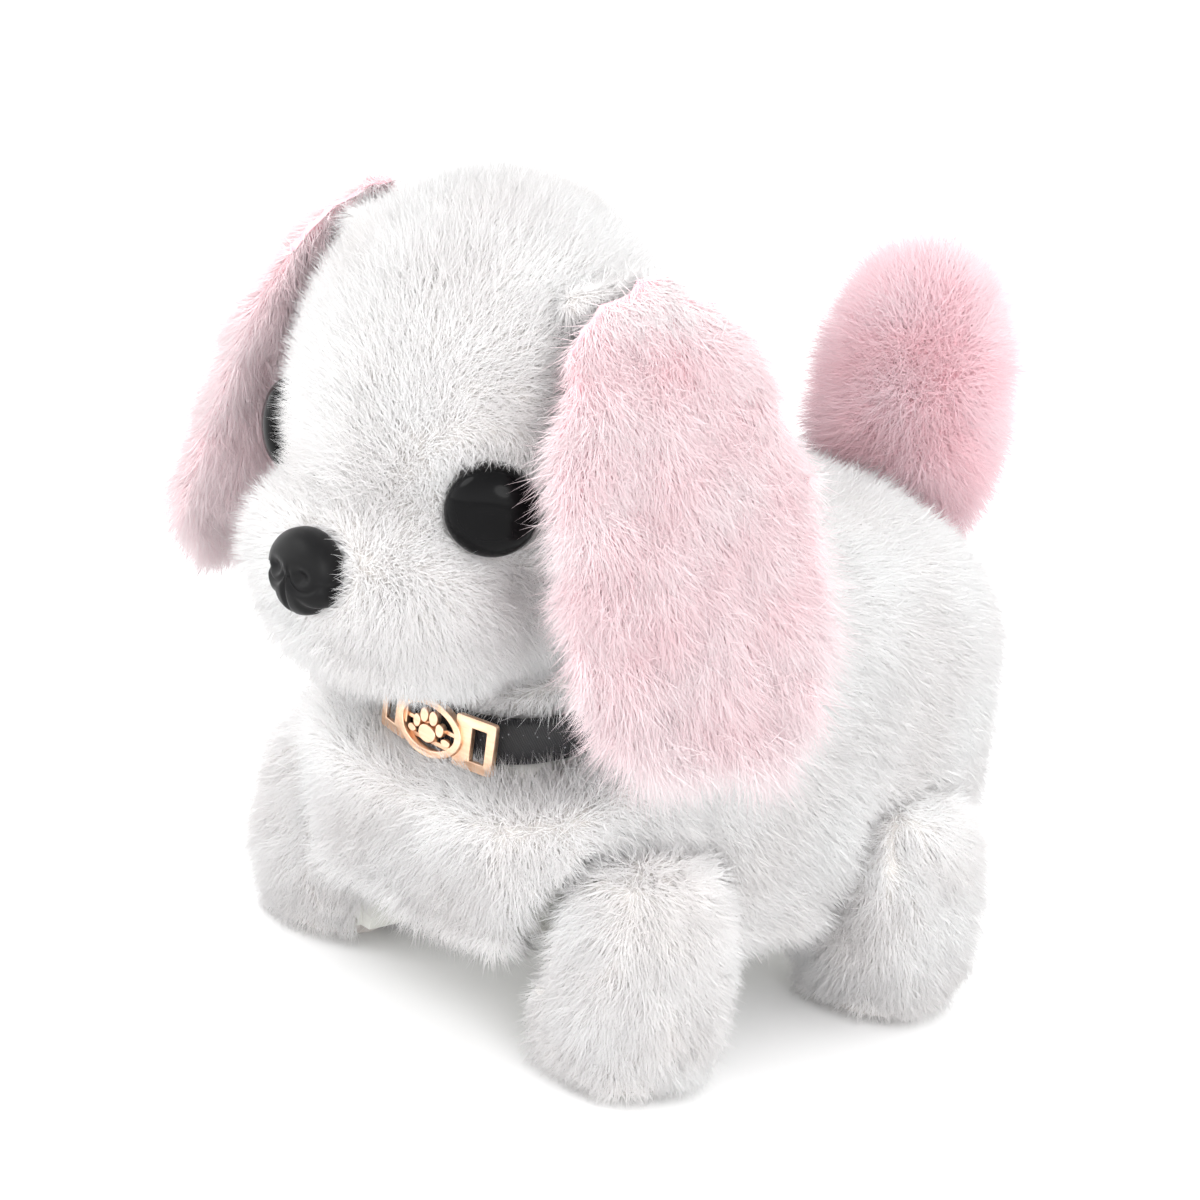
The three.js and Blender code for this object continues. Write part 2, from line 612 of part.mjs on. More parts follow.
function motorPinion() {
  const teeth = plate(gearOutline(SMALL_TEETH, facingTooth(MOTOR_AXLE, FIRST_AXLE)), MOTOR_PLANE);
  return teeth.add(rod('x', AXLE_RADIUS, [MOTOR_SPAN[1] - 0.5, MOTOR_PLANE[1] + 0.2], [0, 0], 10));
}

// The three compound gears: each wheel meshes with the pinion before it, each pinion drives on
function compoundGears() {
  const stages = [
    ['first_gear', WHEEL_TEETH, MOTOR_AXLE, FIRST_AXLE, SECOND_AXLE, MOTOR_PLANE, SECOND_PLANE],
    ['second_gear', WHEEL_TEETH, FIRST_AXLE, SECOND_AXLE, THIRD_AXLE, SECOND_PLANE, THIRD_PLANE],
    ['third_gear', THIRD_TEETH, SECOND_AXLE, THIRD_AXLE, CRANK_AXLE, THIRD_PLANE, CRANK_PLANE],
  ];
  return stages.map(([name, teeth, driver, axle, driven, wheelPlane, pinionPlane]) => {
    const wheelPhase = facingSpace(axle, driver, teeth);
    const pinionPhase = facingTooth(axle, driven);
    return { name, axle, solid: compoundGear(teeth, wheelPlane, wheelPhase, pinionPlane, pinionPhase) };
  });
}

function crankGear() {
  const phase = facingSpace(CRANK_AXLE, THIRD_AXLE, CRANK_TEETH);
  const wheel = plate(gearOutline(CRANK_TEETH, phase), CRANK_PLANE);
  const hub = rod('x', 4, grownSpan(CRANK_PLANE, 0.5), [0, 0]);
  return wheel.add(hub).subtract(rod('x', SHAFT_RADIUS + GAP, [-9, 9], [0, 0]));
}

function crankDisc(side) {
  const disc = rod('x', 5.6, CRANK_LAYER, [0, 0], 18);
  const pin = rod('x', 1.1, [CRANK_LAYER[0] + 0.5, LEVER_LAYER[0] - 0.5], [side * CRANK_THROW, 0]);
  return mirrorX(disc.add(pin), side);
}

function addGears() {
  addPart(addGroup(puppy, [0, ...MOTOR_AXLE]), 'motor_pinion', motorPinion(), materials.steel);
  for (const { name, axle, solid } of compoundGears()) {
    addPart(addGroup(puppy, [0, ...axle]), name, solid, materials.gearPlastic);
  }
  const crank = addGroup(puppy, [0, ...CRANK_AXLE]);
  const shaftEnd = CRANK_LAYER[0] - 0.2;
  const shaft = rod('x', SHAFT_RADIUS, [0.2 - CRANK_LAYER[0], shaftEnd], [0, 0], 16);
  addPart(crank, 'crank_gear', crankGear(), materials.gearPlastic);
  addPart(crank, 'crank_shaft', shaft, materials.steel);
  addPart(crank, 'crank_disc_left', crankDisc(1), materials.whitePlastic);
  addPart(crank, 'crank_disc_right', crankDisc(-1), materials.whitePlastic);
}

// A bent steel bracket: two cheeks that hold the gear axles, joined by a foot strip
function gearBracket() {
  const margin = 4;
  const front = THIRD_AXLE[0] - margin;
  const shortBack = SECOND_AXLE[0] + margin;
  const [low, high] = [BAY_ROOF + 1.6, 52.5];
  const strip = box([INNER_CHEEK[0], OUTER_CHEEK[1]], [BAY_FRONT, shortBack], [low, low + 0.6]);
  const cheeks = [
    box(OUTER_CHEEK, [front, FIRST_AXLE[0] + margin], [low, high]),
    box(INNER_CHEEK, [front, shortBack], [low, high]),
  ];
  const holes = [FIRST_AXLE, SECOND_AXLE, THIRD_AXLE].map((axle) =>
    rod('x', AXLE_RADIUS + GAP, [-9, 30], axle, 12),
  );
  const crankRoom = rod('x', 5, [-9, 9], CRANK_AXLE);
  return cutFrom(joined([...cheeks, strip]), [...holes, crankRoom]);
}

function motor() {
  const end = MOTOR_SPAN[1];
  const [y, z] = MOTOR_AXLE;
  const can = rod('x', MOTOR_RADIUS, MOTOR_SPAN, MOTOR_AXLE, 20);
  const flats = box(MOTOR_SPAN, [y - MOTOR_RADIUS, y + MOTOR_RADIUS], [z - 7.5, z + 7.3]);
  const bearing = rod('x', 3, [end - 0.2, end + 1], MOTOR_AXLE);
  const shaftHole = rod('x', AXLE_RADIUS + GAP, [end - 1, end + 3], MOTOR_AXLE);
  return can.intersect(flats).add(bearing).subtract(shaftHole);
}

// ---------------------------------------------------------------- head
function headCover() {
  const outer = headOutside(0);
  const skullRoom = blob(SKULL_CENTRE, grown(SKULL_HALF, 0.8), ROUND, 14, 9);
  const neckHole = rod('z', 14, [50, 92], [0, NOD_PIVOT[1]], 18);
  const collarRoom = neckRing(-3, COLLAR_THICKNESS + 2, COLLAR_HALF_WIDTH + 1.5, 20);
  return cutFrom(outer, [skullRoom, neckHole, collarRoom, ...facePieces().map(({ room }) => room)]);
}

function headSkull() {
  const outside = blob(SKULL_CENTRE, SKULL_HALF, ROUND, 14, 9);
  const inside = blob(SKULL_CENTRE, grown(SKULL_HALF, -SHELL_WALL), ROUND, 14, 9);
  const [, pivotY, pivotZ] = NOD_PIVOT;
  const opening = rod('z', 12, [50, 89], [0, pivotY], 16);
  const web = box([-30, 30], [pivotY - 14, pivotY + 6], [89, 91.4]).intersect(outside);
  const lugs = [1, -1].map((side) => {
    const lug = joined([
      box([5.6, 8], [pivotY - 4, pivotY + 4], [pivotZ, 90]),
      rod('x', 4, [5.6, 8], [pivotY, pivotZ]),
    ]);
    return mirrorX(lug, side);
  });
  const pinHole = rod('x', PIN_RADIUS + GAP, [-12, 12], [pivotY, pivotZ], 16);
  const shell = outside.subtract(inside).subtract(opening);
  return cutFrom(joined([shell, web, ...lugs]), [pinHole, ...facePieces().map(({ hole }) => hole)]);
}

// Turns a solid made along -Y so that it points along a direction, then moves it
function aimed(solid, direction, at) {
  const madeAlong = new THREE.Vector3(0, -1, 0);
  const turn = new THREE.Quaternion().setFromUnitVectors(madeAlong, direction.normalize());
  const matrix = new THREE.Matrix4().compose(new THREE.Vector3(...at), turn, new THREE.Vector3(1, 1, 1));
  return solid.transform(matrix.elements);
}

function eyeDome() {
  const profile = [new THREE.Vector2(0, -EYE_RIM), new THREE.Vector2(EYE_RADIUS, -EYE_RIM)];
  const steps = 4;
  for (let i = 0; i <= steps; i++) {
    const angle = (i / steps) * (Math.PI / 2);
    const radius = EYE_RADIUS * Math.cos(angle);
    profile.push(new THREE.Vector2(i === steps ? 0 : radius, EYE_HEIGHT * Math.sin(angle)));
  }
  return toSolid(new THREE.LatheGeometry(profile, 18)).rotate([180, 0, 0]);
}

function noseShape() {
  const bridge = blob([0, -0.6, 1.4], [7, 4, 5.2], [2.4, 2, 2], 14, 8);
  const lower = blob([0, -0.8, -2], [4.4, 3.8, 4.8], ROUND, 12, 8);
  return bridge.add(lower);
}

function lockWasher(depth) {
  return rod('y', 5, [depth, depth + 1.4], [0, 0]).subtract(rod('y', 2.3, [0, 40], [0, 0], 12));
}

// Eyes and nose: a moulded front, a stem through the cover and skull, a lock washer behind it
function facePieces() {
  const eyeWay = (side) => new THREE.Vector3(side * 0.72, -0.68, -0.1);
  const list = [1, -1].map((side) => ({
    name: side > 0 ? 'left_eye' : 'right_eye',
    front: eyeDome(),
    room: rod('y', EYE_RADIUS + GAP, [-9, EYE_RIM + GAP], [0, 0], 18),
    at: [side * EYE_AT[0], EYE_AT[1], EYE_AT[2]],
    way: eyeWay(side),
    depth: EYE_STEM,
  }));
  list.push({
    name: 'nose',
    front: noseShape(),
    room: joined([
      blob([0, -1, 0], [8, 5.2, 7.8], ROUND, 12, 8),
      rod('y', 5 + GAP, [NOSE_STEM - GAP, NOSE_STEM + 1.4 + GAP], [0, 0]),
    ]),
    at: NOSE_AT,
    way: new THREE.Vector3(0, -1, 0.06),
    depth: NOSE_STEM,
  });
  return list.map(({ name, front, room, at, way, depth }) => {
    const stem = rod('y', 1.8, [0, depth + 2], [0, 0], 12);
    const hole = rod('y', 1.8 + GAP, [0, depth + 4], [0, 0], 12);
    const place = (solid) => aimed(solid, way.clone(), at);
    return {
      name,
      piece: place(front.add(stem)),
      washer: place(lockWasher(depth)),
      hole: place(hole),
      room: place(room.add(hole)),
    };
  });
}

// A pad that hangs from the root and flares outwards as it falls
function earPad() {
  const geometry = new THREE.SphereGeometry(1, 16, 14);
  geometry.rotateX(Math.PI / 2);
  const points = geometry.getAttribute('position');
  const p = new THREE.Vector3();
  for (let i = 0; i < points.count; i++) {
    p.fromBufferAttribute(points, i);
    const outline = powerLength(p.y, p.z, EAR_OUTLINE_POWER);
    p.divideScalar(powerLength(outline, p.x, EAR_EDGE_POWER));
    const fall = (1 - p.z) / 2;
    const outward = EAR_FLARE * fall ** EAR_FLARE_POWER;
    const widening = 0.8 + 0.2 * Math.sin((fall * Math.PI) / 1.7);
    const across = p.y * EAR_HALF_WIDTH * widening;
    const x = EAR_ROOT[0] + outward + p.x * EAR_HALF_THICKNESS + across * EAR_TWIST;
    const y = EAR_ROOT[1] - EAR_LEAN * 0.3 * Math.sin(fall * Math.PI) + across;
    points.setXYZ(i, x, y, EAR_ROOT[2] + EAR_RISE - fall * EAR_LENGTH);
  }
  return toSolid(geometry).subtract(headOutside(0.8));
}

function addHead() {
  const head = addGroup(puppy, NOD_PIVOT);
  const place = (solid) => fromPivot(solid, NOD_PIVOT);
  addPart(head, 'head_plush_cover', place(headCover()), materials.whitePlush);
  addPart(head, 'head_skull', place(headSkull()), materials.whitePlastic);
  for (const { name, piece, washer } of facePieces()) {
    addPart(head, name, place(piece), materials.blackGloss);
    addPart(head, `${name}_washer`, place(washer), materials.whitePlastic);
  }
  for (const [name, side] of [['left', 1], ['right', -1]]) {
    const root = [side * EAR_ROOT[0], EAR_ROOT[1], EAR_ROOT[2]];
    const ear = addGroup(head, root.map((value, i) => value - NOD_PIVOT[i]));
    addPart(ear, `${name}_ear`, fromPivot(mirrorX(earPad(), side), root), materials.pinkPlush);
  }
  const pin = rod('x', PIN_RADIUS, [-9.4, 9.4], NOD_PIVOT.slice(1), 16);
  addPart(puppy, 'neck_pin', pin, materials.steel);
}

// ---------------------------------------------------------------- collar
function collarPlate() {
  const y = NECK_Y - COLLAR_HALF_Y - COLLAR_THICKNESS;
  const z = NECK_Z - COLLAR_HALF_Y * NECK_SLOPE;
  const medallion = rod('y', MEDALLION_RADIUS, [y - 1.9, y - 0.5], [0, z], 18);
  const barSpan = [PLATE_HALF_WIDTH - PLATE_BAR, PLATE_HALF_WIDTH];
  const bar = box(barSpan, [y - 1.7, y - 0.5], [z - PLATE_HALF_HEIGHT, z + PLATE_HALF_HEIGHT]);
  const railHalf = barSpan[0] + 0.4;
  const rails = [z - 3, z + 3].map((height) =>
    box([-railHalf, railHalf], [y - 1.4, y - 0.5], [height - 0.6, height + 0.6]),
  );
  return joined([medallion, bar, mirrorX(bar, -1), ...rails]);
}

// ---------------------------------------------------------------- tail
// The leaning stem inside the tuft, or the room for it when grown by a gap
function tailStem(grow = 0) {
  const [, pivotY, pivotZ] = TAIL_PIVOT;
  const half = 2 + grow;
  const top = TAIL_STEM_TOP + grow;
  const outline = [
    [pivotY - half, pivotZ],
    [pivotY + half, pivotZ],
    [TAIL_CENTRE[1] + half, top],
    [TAIL_CENTRE[1] - half, top],
  ];
  return plate(polygon(outline), [-half, half]);
}

function tailLever() {
  const [, pivotY, pivotZ] = TAIL_PIVOT;
  const hub = rod('y', 5, [pivotY - 2, pivotY + 2], [0, pivotZ], 20);
  const driveArm = box([-2, 2], [pivotY - 2, pivotY + 2], [pivotZ - 7, pivotZ]);
  const pinHole = rod('y', PIN_RADIUS + GAP, [40, 60], [0, pivotZ], 16);
  return joined([hub, tailStem(), driveArm]).subtract(pinHole);
}

function tailPlush() {
  const tuft = blob(TAIL_CENTRE, TAIL_HALF, ROUND, 18, 12);
  const hubRoom = rod('y', 8, [30, 80], [0, TAIL_PIVOT[2]], 18);
  return cutFrom(tuft, [tailStem(GAP), hubRoom]);
}

function addTail() {
  const tail = addGroup(puppy, TAIL_PIVOT);
  addPart(tail, 'tail_lever', fromPivot(tailLever(), TAIL_PIVOT), materials.whitePlastic);
  addPart(tail, 'tail_plush', fromPivot(tailPlush(), TAIL_PIVOT), materials.pinkPlush);
  const [, pivotY, pivotZ] = TAIL_PIVOT;
  const shank = rod('y', PIN_RADIUS, [43, pivotY + 4], [0, pivotZ]);
  const pin = shank.add(rod('y', 2.6, [pivotY + 3.2, pivotY + 4.4], [0, pivotZ]));
  addPart(puppy, 'tail_pin', pin, materials.steel);
}

// ---------------------------------------------------------------- the whole puppy
addPart(puppy, 'body_plush_cover', bodyCover(), materials.whitePlush);
addPart(puppy, 'chassis_lower', chassisLower(), materials.whitePlastic);
addPart(puppy, 'chassis_upper', chassisUpper(), materials.whitePlastic);
addPart(puppy, 'battery_door', batteryDoor(), materials.whitePlastic);
addPart(puppy, 'battery_door_screw', doorScrew(), materials.steel);
addPart(puppy, 'left_battery', cell(CELL_X, 1), materials.cell);
addPart(puppy, 'right_battery', cell(-CELL_X, -1), materials.cell);
addPart(puppy, 'battery_spring', cellSpring(), materials.steel);
addPart(puppy, 'battery_cross_plate', crossPlate(), materials.steel);
addPart(puppy, 'switch_body', switchBody(), materials.greyPlastic);
addPart(puppy, 'switch_knob', switchKnob(), materials.blackStrap);
addPart(puppy, 'circuit_board', circuitBoard(), materials.board);
addPart(puppy, 'speaker', speaker(), materials.greyPlastic);
addPart(puppy, 'motor', motor(), materials.steel);
addPart(puppy, 'gear_bracket', gearBracket(), materials.steel);
addGears();
const axles = [['first', FIRST_AXLE, 7.4], ['second', SECOND_AXLE, -2], ['third', THIRD_AXLE, -2]];
for (const [name, axle, end] of axles) {
  addPart(puppy, `${name}_gear_axle`, rod('x', AXLE_RADIUS, [end, 16.4], axle, 10), materials.steel);
}
for (const [end, y] of [['front', FRONT_LEG_Y], ['rear', REAR_LEG_Y]]) {
  addLeg(`${end}_left`, y, 1);
  addLeg(`${end}_right`, y, -1);
}
for (const [name, side] of [['left', 1], ['right', -1]]) {
  const pivot = [0, FRONT_LEG_Y, LEG_PIVOT_Z + LINK_ARM];
  const link = addGroup(puppy, pivot);
  addPart(link, `${name}_leg_link`, fromPivot(mirrorX(legLink(), side), pivot), materials.greyPlastic);
}
addHead();
addPart(puppy, 'collar_strap', neckRing(0, COLLAR_THICKNESS, COLLAR_HALF_WIDTH), materials.blackStrap);
addPart(puppy, 'collar_plate', collarPlate(), materials.roseGold);
addTail();

// The origin is on the floor, under the middle of the toy
const extent = new THREE.Box3().setFromObject(puppy);
puppy.position.set(0, -(extent.min.y + extent.max.y) / 2, -extent.min.z);

export default puppy;
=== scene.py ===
"""Looks of the walking plush puppy: pile fabric, moulded face pieces, collar, small hardware, studio."""
import json
import math

import bmesh
import bpy
import numpy as np
from mathutils import Matrix, Vector
from mathutils.bvhtree import BVHTree


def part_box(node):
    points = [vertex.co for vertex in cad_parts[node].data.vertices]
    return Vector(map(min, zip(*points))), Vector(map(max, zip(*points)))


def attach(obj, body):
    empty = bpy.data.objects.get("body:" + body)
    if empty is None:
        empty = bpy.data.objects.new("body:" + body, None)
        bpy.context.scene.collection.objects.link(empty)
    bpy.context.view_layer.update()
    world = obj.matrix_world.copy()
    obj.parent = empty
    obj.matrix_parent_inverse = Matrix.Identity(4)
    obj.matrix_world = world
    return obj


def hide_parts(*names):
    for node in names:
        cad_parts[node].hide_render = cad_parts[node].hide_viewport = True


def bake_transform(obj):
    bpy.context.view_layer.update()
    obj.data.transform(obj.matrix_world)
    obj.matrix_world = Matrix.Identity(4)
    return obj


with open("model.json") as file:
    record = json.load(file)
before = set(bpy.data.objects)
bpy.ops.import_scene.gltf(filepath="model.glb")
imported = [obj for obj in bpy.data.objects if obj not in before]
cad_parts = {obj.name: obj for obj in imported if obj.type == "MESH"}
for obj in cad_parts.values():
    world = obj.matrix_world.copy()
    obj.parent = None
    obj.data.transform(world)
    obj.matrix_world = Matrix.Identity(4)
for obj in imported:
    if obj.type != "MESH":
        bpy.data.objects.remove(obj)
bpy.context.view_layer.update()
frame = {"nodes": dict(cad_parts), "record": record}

MM = 0.001
NODES = frame["nodes"]
BODY_OF = {node: body for body, nodes in frame["record"]["behaviour"]["bodies"].items() for node in nodes}
SLOT_OF = {part["node"]: part["material_slot"] for part in frame["record"]["subparts"]}


# ------------------------------------------------------------------ frame helpers, in millimetres
def box(node):
    """The two corners of a node."""
    low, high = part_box(node)
    return np.array(low) / MM, np.array(high) / MM


def middle(node):
    low, high = box(node)
    return (low + high) / 2


def unit(v):
    return v / np.maximum(np.linalg.norm(v, axis=-1, keepdims=True), 1e-9)


def dot(a, b):
    return np.sum(a * b, axis=-1, keepdims=True)


def smoothstep(low, high, x):
    t = np.clip((x - low) / (high - low), 0, 1)
    return t * t * (3 - 2 * t)


def waves(points, size, seed, count=9):
    """A smooth random field of about unit height whose bumps are size millimetres apart."""
    own = np.random.default_rng(seed)
    total = np.zeros(len(points))
    for _ in range(count):
        way = unit(own.normal(size=3)) * own.uniform(0.6, 1.5) * 2 * math.pi / size
        total += np.sin(points @ way + own.uniform(0, 2 * math.pi))
    return total / math.sqrt(count / 2)


def new_object(name, mesh):
    thing = bpy.data.objects.new(name, mesh)
    bpy.context.scene.collection.objects.link(thing)
    return thing


def mesh_from(name, points, faces, smooth=True):
    """A mesh from points in millimetres and an array of equal-sided faces."""
    mesh = bpy.data.meshes.new(name)
    faces = np.asarray(faces, np.int32)
    sides = faces.shape[1]
    mesh.vertices.add(len(points))
    mesh.vertices.foreach_set("co", (np.asarray(points, np.float32) * MM).ravel())
    mesh.loops.add(faces.size)
    mesh.loops.foreach_set("vertex_index", faces.ravel())
    mesh.polygons.add(len(faces))
    mesh.polygons.foreach_set("loop_start", np.arange(len(faces), dtype=np.int32) * sides)
    mesh.polygons.foreach_set("use_smooth", np.full(len(faces), smooth))
    mesh.update(calc_edges=True)
    return mesh


def vertex_array(mesh):
    co = np.empty(len(mesh.vertices) * 3, np.float32)
    mesh.vertices.foreach_get("co", co)
    return co.reshape(-1, 3).astype(float) / MM


def normal_array(mesh):
    normals = np.empty(len(mesh.vertices) * 3, np.float32)
    mesh.vertex_normals.foreach_get("vector", normals)
    return normals.reshape(-1, 3).astype(float)


def triangle_array(mesh):
    mesh.calc_loop_triangles()
    tris = np.empty(len(mesh.loop_triangles) * 3, np.int32)
    mesh.loop_triangles.foreach_get("vertices", tris)
    return tris.reshape(-1, 3)


def put_vertices(mesh, co):
    mesh.vertices.foreach_set("co", (np.asarray(co, np.float32) * MM).ravel())
    mesh.update()


def smooth_shaded(mesh):
    mesh.polygons.foreach_set("use_smooth", np.full(len(mesh.polygons), True))


def apply_modifiers(thing):
    graph = bpy.context.evaluated_depsgraph_get()
    mesh = bpy.data.meshes.new_from_object(thing.evaluated_get(graph), depsgraph=graph)
    thing.modifiers.clear()
    thing.data = mesh
    return mesh


def settle(thing, body, slot, *nodes):
    """Puts a piece on its body, and in the place of its nodes. Its slot is not used."""
    if body:
        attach(thing, body)
    if nodes:
        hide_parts(*nodes)
    return thing


# ------------------------------------------------------------------ materials
class Shader:
    """A small node-tree writer round one Principled surface."""

    def __init__(self, name):
        self.material = bpy.data.materials.new(name)
        self.material.use_nodes = True
        self.tree = self.material.node_tree
        self.surface = self.tree.nodes["Principled BSDF"]

    def node(self, kind, **values):
        made = self.tree.nodes.new(kind)
        for key, value in values.items():
            if hasattr(made, key):
                setattr(made, key, value)
            else:
                made.inputs[key.replace("_", " ")].default_value = value
        return made

    def link(self, source, target):
        self.tree.links.new(source, target)

    def set(self, **values):
        for key, value in values.items():
            self.surface.inputs[key.replace("_", " ")].default_value = value

    def coordinates(self):
        return self.node("ShaderNodeTexCoord").outputs["Object"]

    def noise(self, scale, detail=4.0, roughness=0.55, vector=None):
        made = self.node("ShaderNodeTexNoise", Scale=scale, Detail=detail, Roughness=roughness)
        self.link(vector or self.coordinates(), made.inputs["Vector"])
        return made.outputs["Fac"]

    def ramp(self, factor, stops):
        made = self.node("ShaderNodeValToRGB")
        ramp = made.color_ramp
        while len(ramp.elements) < len(stops):
            ramp.elements.new(0.5)
        for element, (place, colour) in zip(ramp.elements, stops):
            element.position = place
            element.color = (*colour, 1)
        self.link(factor, made.inputs["Fac"])
        return made.outputs["Color"]

    def mix(self, factor, first, second, blend="MIX"):
        made = self.node("ShaderNodeMix", data_type="RGBA", blend_type=blend)
        for value, number in ((factor, 0), (first, 6), (second, 7)):
            socket = made.inputs[number]
            if isinstance(value, (int, float)):
                socket.default_value = value
            elif isinstance(value, tuple):
                socket.default_value = (*value, 1)
            else:
                self.link(value, socket)
        return made.outputs[2]

    def value_range(self, source, low, high):
        made = self.node("ShaderNodeMapRange")
        made.inputs["To Min"].default_value = low
        made.inputs["To Max"].default_value = high
        self.link(source, made.inputs["Value"])
        return made.outputs["Result"]

    def bump(self, height, strength, distance):
        made = self.node("ShaderNodeBump", Strength=strength, Distance=distance)
        self.link(height, made.inputs["Height"])
        self.link(made.outputs["Normal"], self.surface.inputs["Normal"])

    def colour(self, socket):
        self.link(socket, self.surface.inputs["Base Color"])

    def roughness(self, socket):
        self.link(socket, self.surface.inputs["Roughness"])


def srgb(*levels):
    return tuple(((v / 255 + 0.055) / 1.055) ** 2.4 if v > 10 else v / 255 / 12.92 for v in levels)


def moulded(name, light, dark, rough, grain=900.0, metallic=0.0, bump=0.15, gloss=0.5):
    """Moulded plastic, rubber or plated metal with a fine grain and faint unevenness."""
    shade = Shader(name)
    cloudy = shade.noise(90.0, 3.0)
    fine = shade.noise(grain, 5.0, 0.6)
    shade.colour(shade.ramp(cloudy, [(0.3, dark), (0.7, light)]))
    shade.roughness(shade.value_range(fine, rough - 0.06, rough + 0.08))
    shade.bump(fine, bump, 0.0002)
    shade.set(Metallic=metallic, Specular_IOR_Level=gloss)
    return shade.material


def brushed(name, light, dark, rough):
    """Metal with drawn lines along one direction."""
    shade = Shader(name)
    stretch = shade.node("ShaderNodeMapping")
    stretch.inputs["Scale"].default_value = (60.0, 1500.0, 1500.0)
    shade.link(shade.coordinates(), stretch.inputs["Vector"])
    lines = shade.noise(1.0, 3.0, 0.5, stretch.outputs["Vector"])
    shade.colour(shade.ramp(lines, [(0.3, dark), (0.7, light)]))
    shade.roughness(shade.value_range(lines, rough - 0.08, rough + 0.12))
    shade.bump(lines, 0.08, 0.0001)
    shade.set(Metallic=1.0)
    return shade.material


def backing(name, light, dark):
    """The knitted cloth that the pile grows from."""
    shade = Shader(name)
    knit = shade.node("ShaderNodeTexVoronoi", Scale=1100.0)
    shade.link(shade.coordinates(), knit.inputs["Vector"])
    cloudy = shade.noise(160.0, 5.0)
    base = shade.ramp(cloudy, [(0.25, dark), (0.75, light)])
    loops = shade.ramp(knit.outputs["Distance"], [(0.0, light), (0.8, dark)])
    shade.colour(shade.mix(0.35, base, loops, "MULTIPLY"))
    shade.set(Roughness=0.95, Specular_IOR_Level=0.1, Sheen_Weight=0.3)
    shade.bump(knit.outputs["Distance"], 0.4, 0.0003)
    return shade.material


def pile(name, deep, mid, pale, root):
    """Pile strands: across the map lie the tints from deep to pale, up it the way from root to tip."""
    shade = Shader(name)
    place = shade.node("ShaderNodeUVMap", uv_map="OFBake")
    parts = shade.node("ShaderNodeSeparateXYZ")
    shade.link(place.outputs["UV"], parts.inputs["Vector"])
    tints = shade.ramp(parts.outputs["X"], [(0.0, deep), (0.5, mid), (1.0, pale)])
    streak = shade.node("ShaderNodeTexNoise", noise_dimensions="1D", W=0.0, Scale=420.0, Detail=2.0)
    shade.link(parts.outputs["X"], streak.inputs["W"])
    varied = shade.mix(shade.value_range(streak.outputs["Fac"], 0.0, 0.35), tints, pale)
    rise = shade.ramp(parts.outputs["Y"], [(0.0, (0.0, 0.0, 0.0)), (0.55, (1.0, 1.0, 1.0))])
    shade.colour(shade.mix(rise, shade.mix(0.65, varied, root), varied))
    shade.set(Roughness=0.75, Specular_IOR_Level=0.25, Sheen_Weight=0.0)
    return shade.material


FINISH = {
    "white_plush": backing("plush_backing_white", srgb(240, 238, 236), srgb(214, 210, 207)),
    "pink_plush": backing("plush_backing_pink", srgb(252, 216, 222), srgb(248, 200, 209)),
    "white_plastic": moulded("plastic_white", srgb(236, 236, 231), srgb(228, 228, 222), 0.42),
    "grey_plastic": moulded("plastic_grey", srgb(150, 154, 160), srgb(136, 140, 146), 0.45),
    "gear_plastic": moulded("plastic_natural", srgb(240, 232, 208), srgb(230, 220, 192), 0.38),
    "black_gloss_plastic": moulded(
        "plastic_black_gloss", srgb(12, 12, 13), srgb(7, 7, 8), 0.12, grain=300.0, bump=0.02, gloss=0.09),
    "black_nose_plastic": moulded(
        "plastic_black_satin", srgb(22, 22, 23), srgb(14, 14, 15), 0.4,
        grain=700.0, bump=0.1, gloss=0.14),
    "steel": brushed("steel_plated", srgb(214, 215, 218), srgb(176, 178, 182), 0.3),
    "rose_gold": brushed("plate_rose_gold", srgb(252, 220, 192), srgb(240, 196, 162), 0.34),
    "cell_jacket": moulded(
        "cell_sleeve", srgb(52, 84, 118), srgb(40, 66, 96), 0.35, grain=500.0, metallic=0.3, bump=0.05),
    "circuit_board": moulded(
        "board_green", srgb(30, 112, 64), srgb(20, 86, 48), 0.4, grain=700.0, bump=0.3),
    "sole_rubber": moulded(
        "rubber_sole", srgb(214, 208, 204), srgb(196, 190, 186), 0.7, grain=600.0, bump=0.5),
}


def strap_material():
    """Black coated cloth with a fine twill and scattered glitter specks, whose glint is painted bright grey
    into the base colour.
    """
    shade = Shader("strap_black")
    twill = shade.node("ShaderNodeTexWave", Scale=900.0, Distortion=1.5, Detail=2.0)
    twill.bands_direction = "DIAGONAL"
    shade.link(shade.coordinates(), twill.inputs["Vector"])
    glitter_glint_cells = shade.node("ShaderNodeTexVoronoi", Scale=950.0)
    shade.link(shade.coordinates(), glitter_glint_cells.inputs["Vector"])
    glitter_and_painted_glint = shade.ramp(glitter_glint_cells.outputs["Distance"], [(0.10, (1.0, 1.0, 1.0)), (0.14, (0.0, 0.0, 0.0))])
    base = shade.ramp(twill.outputs["Fac"], [(0.2, srgb(18, 18, 20)), (0.8, srgb(34, 34, 37))])
    # Glitter specks: glossier in roughness, and painted bright grey in the base colour as their glint.
    shade.colour(shade.mix(glitter_and_painted_glint, base, srgb(150, 150, 156)))
    shade.roughness(shade.value_range(glitter_and_painted_glint, 0.6, 0.2))
    shade.bump(twill.outputs["Fac"], 0.5, 0.0002)
    return shade.material


FINISH["black_webbing"] = strap_material()

for node, cad in NODES.items():
    if not cad.material_slots:
        cad.data.materials.append(None)
    for place in cad.material_slots:
        place.link = "OBJECT"
        place.material = FINISH[SLOT_OF[node]]


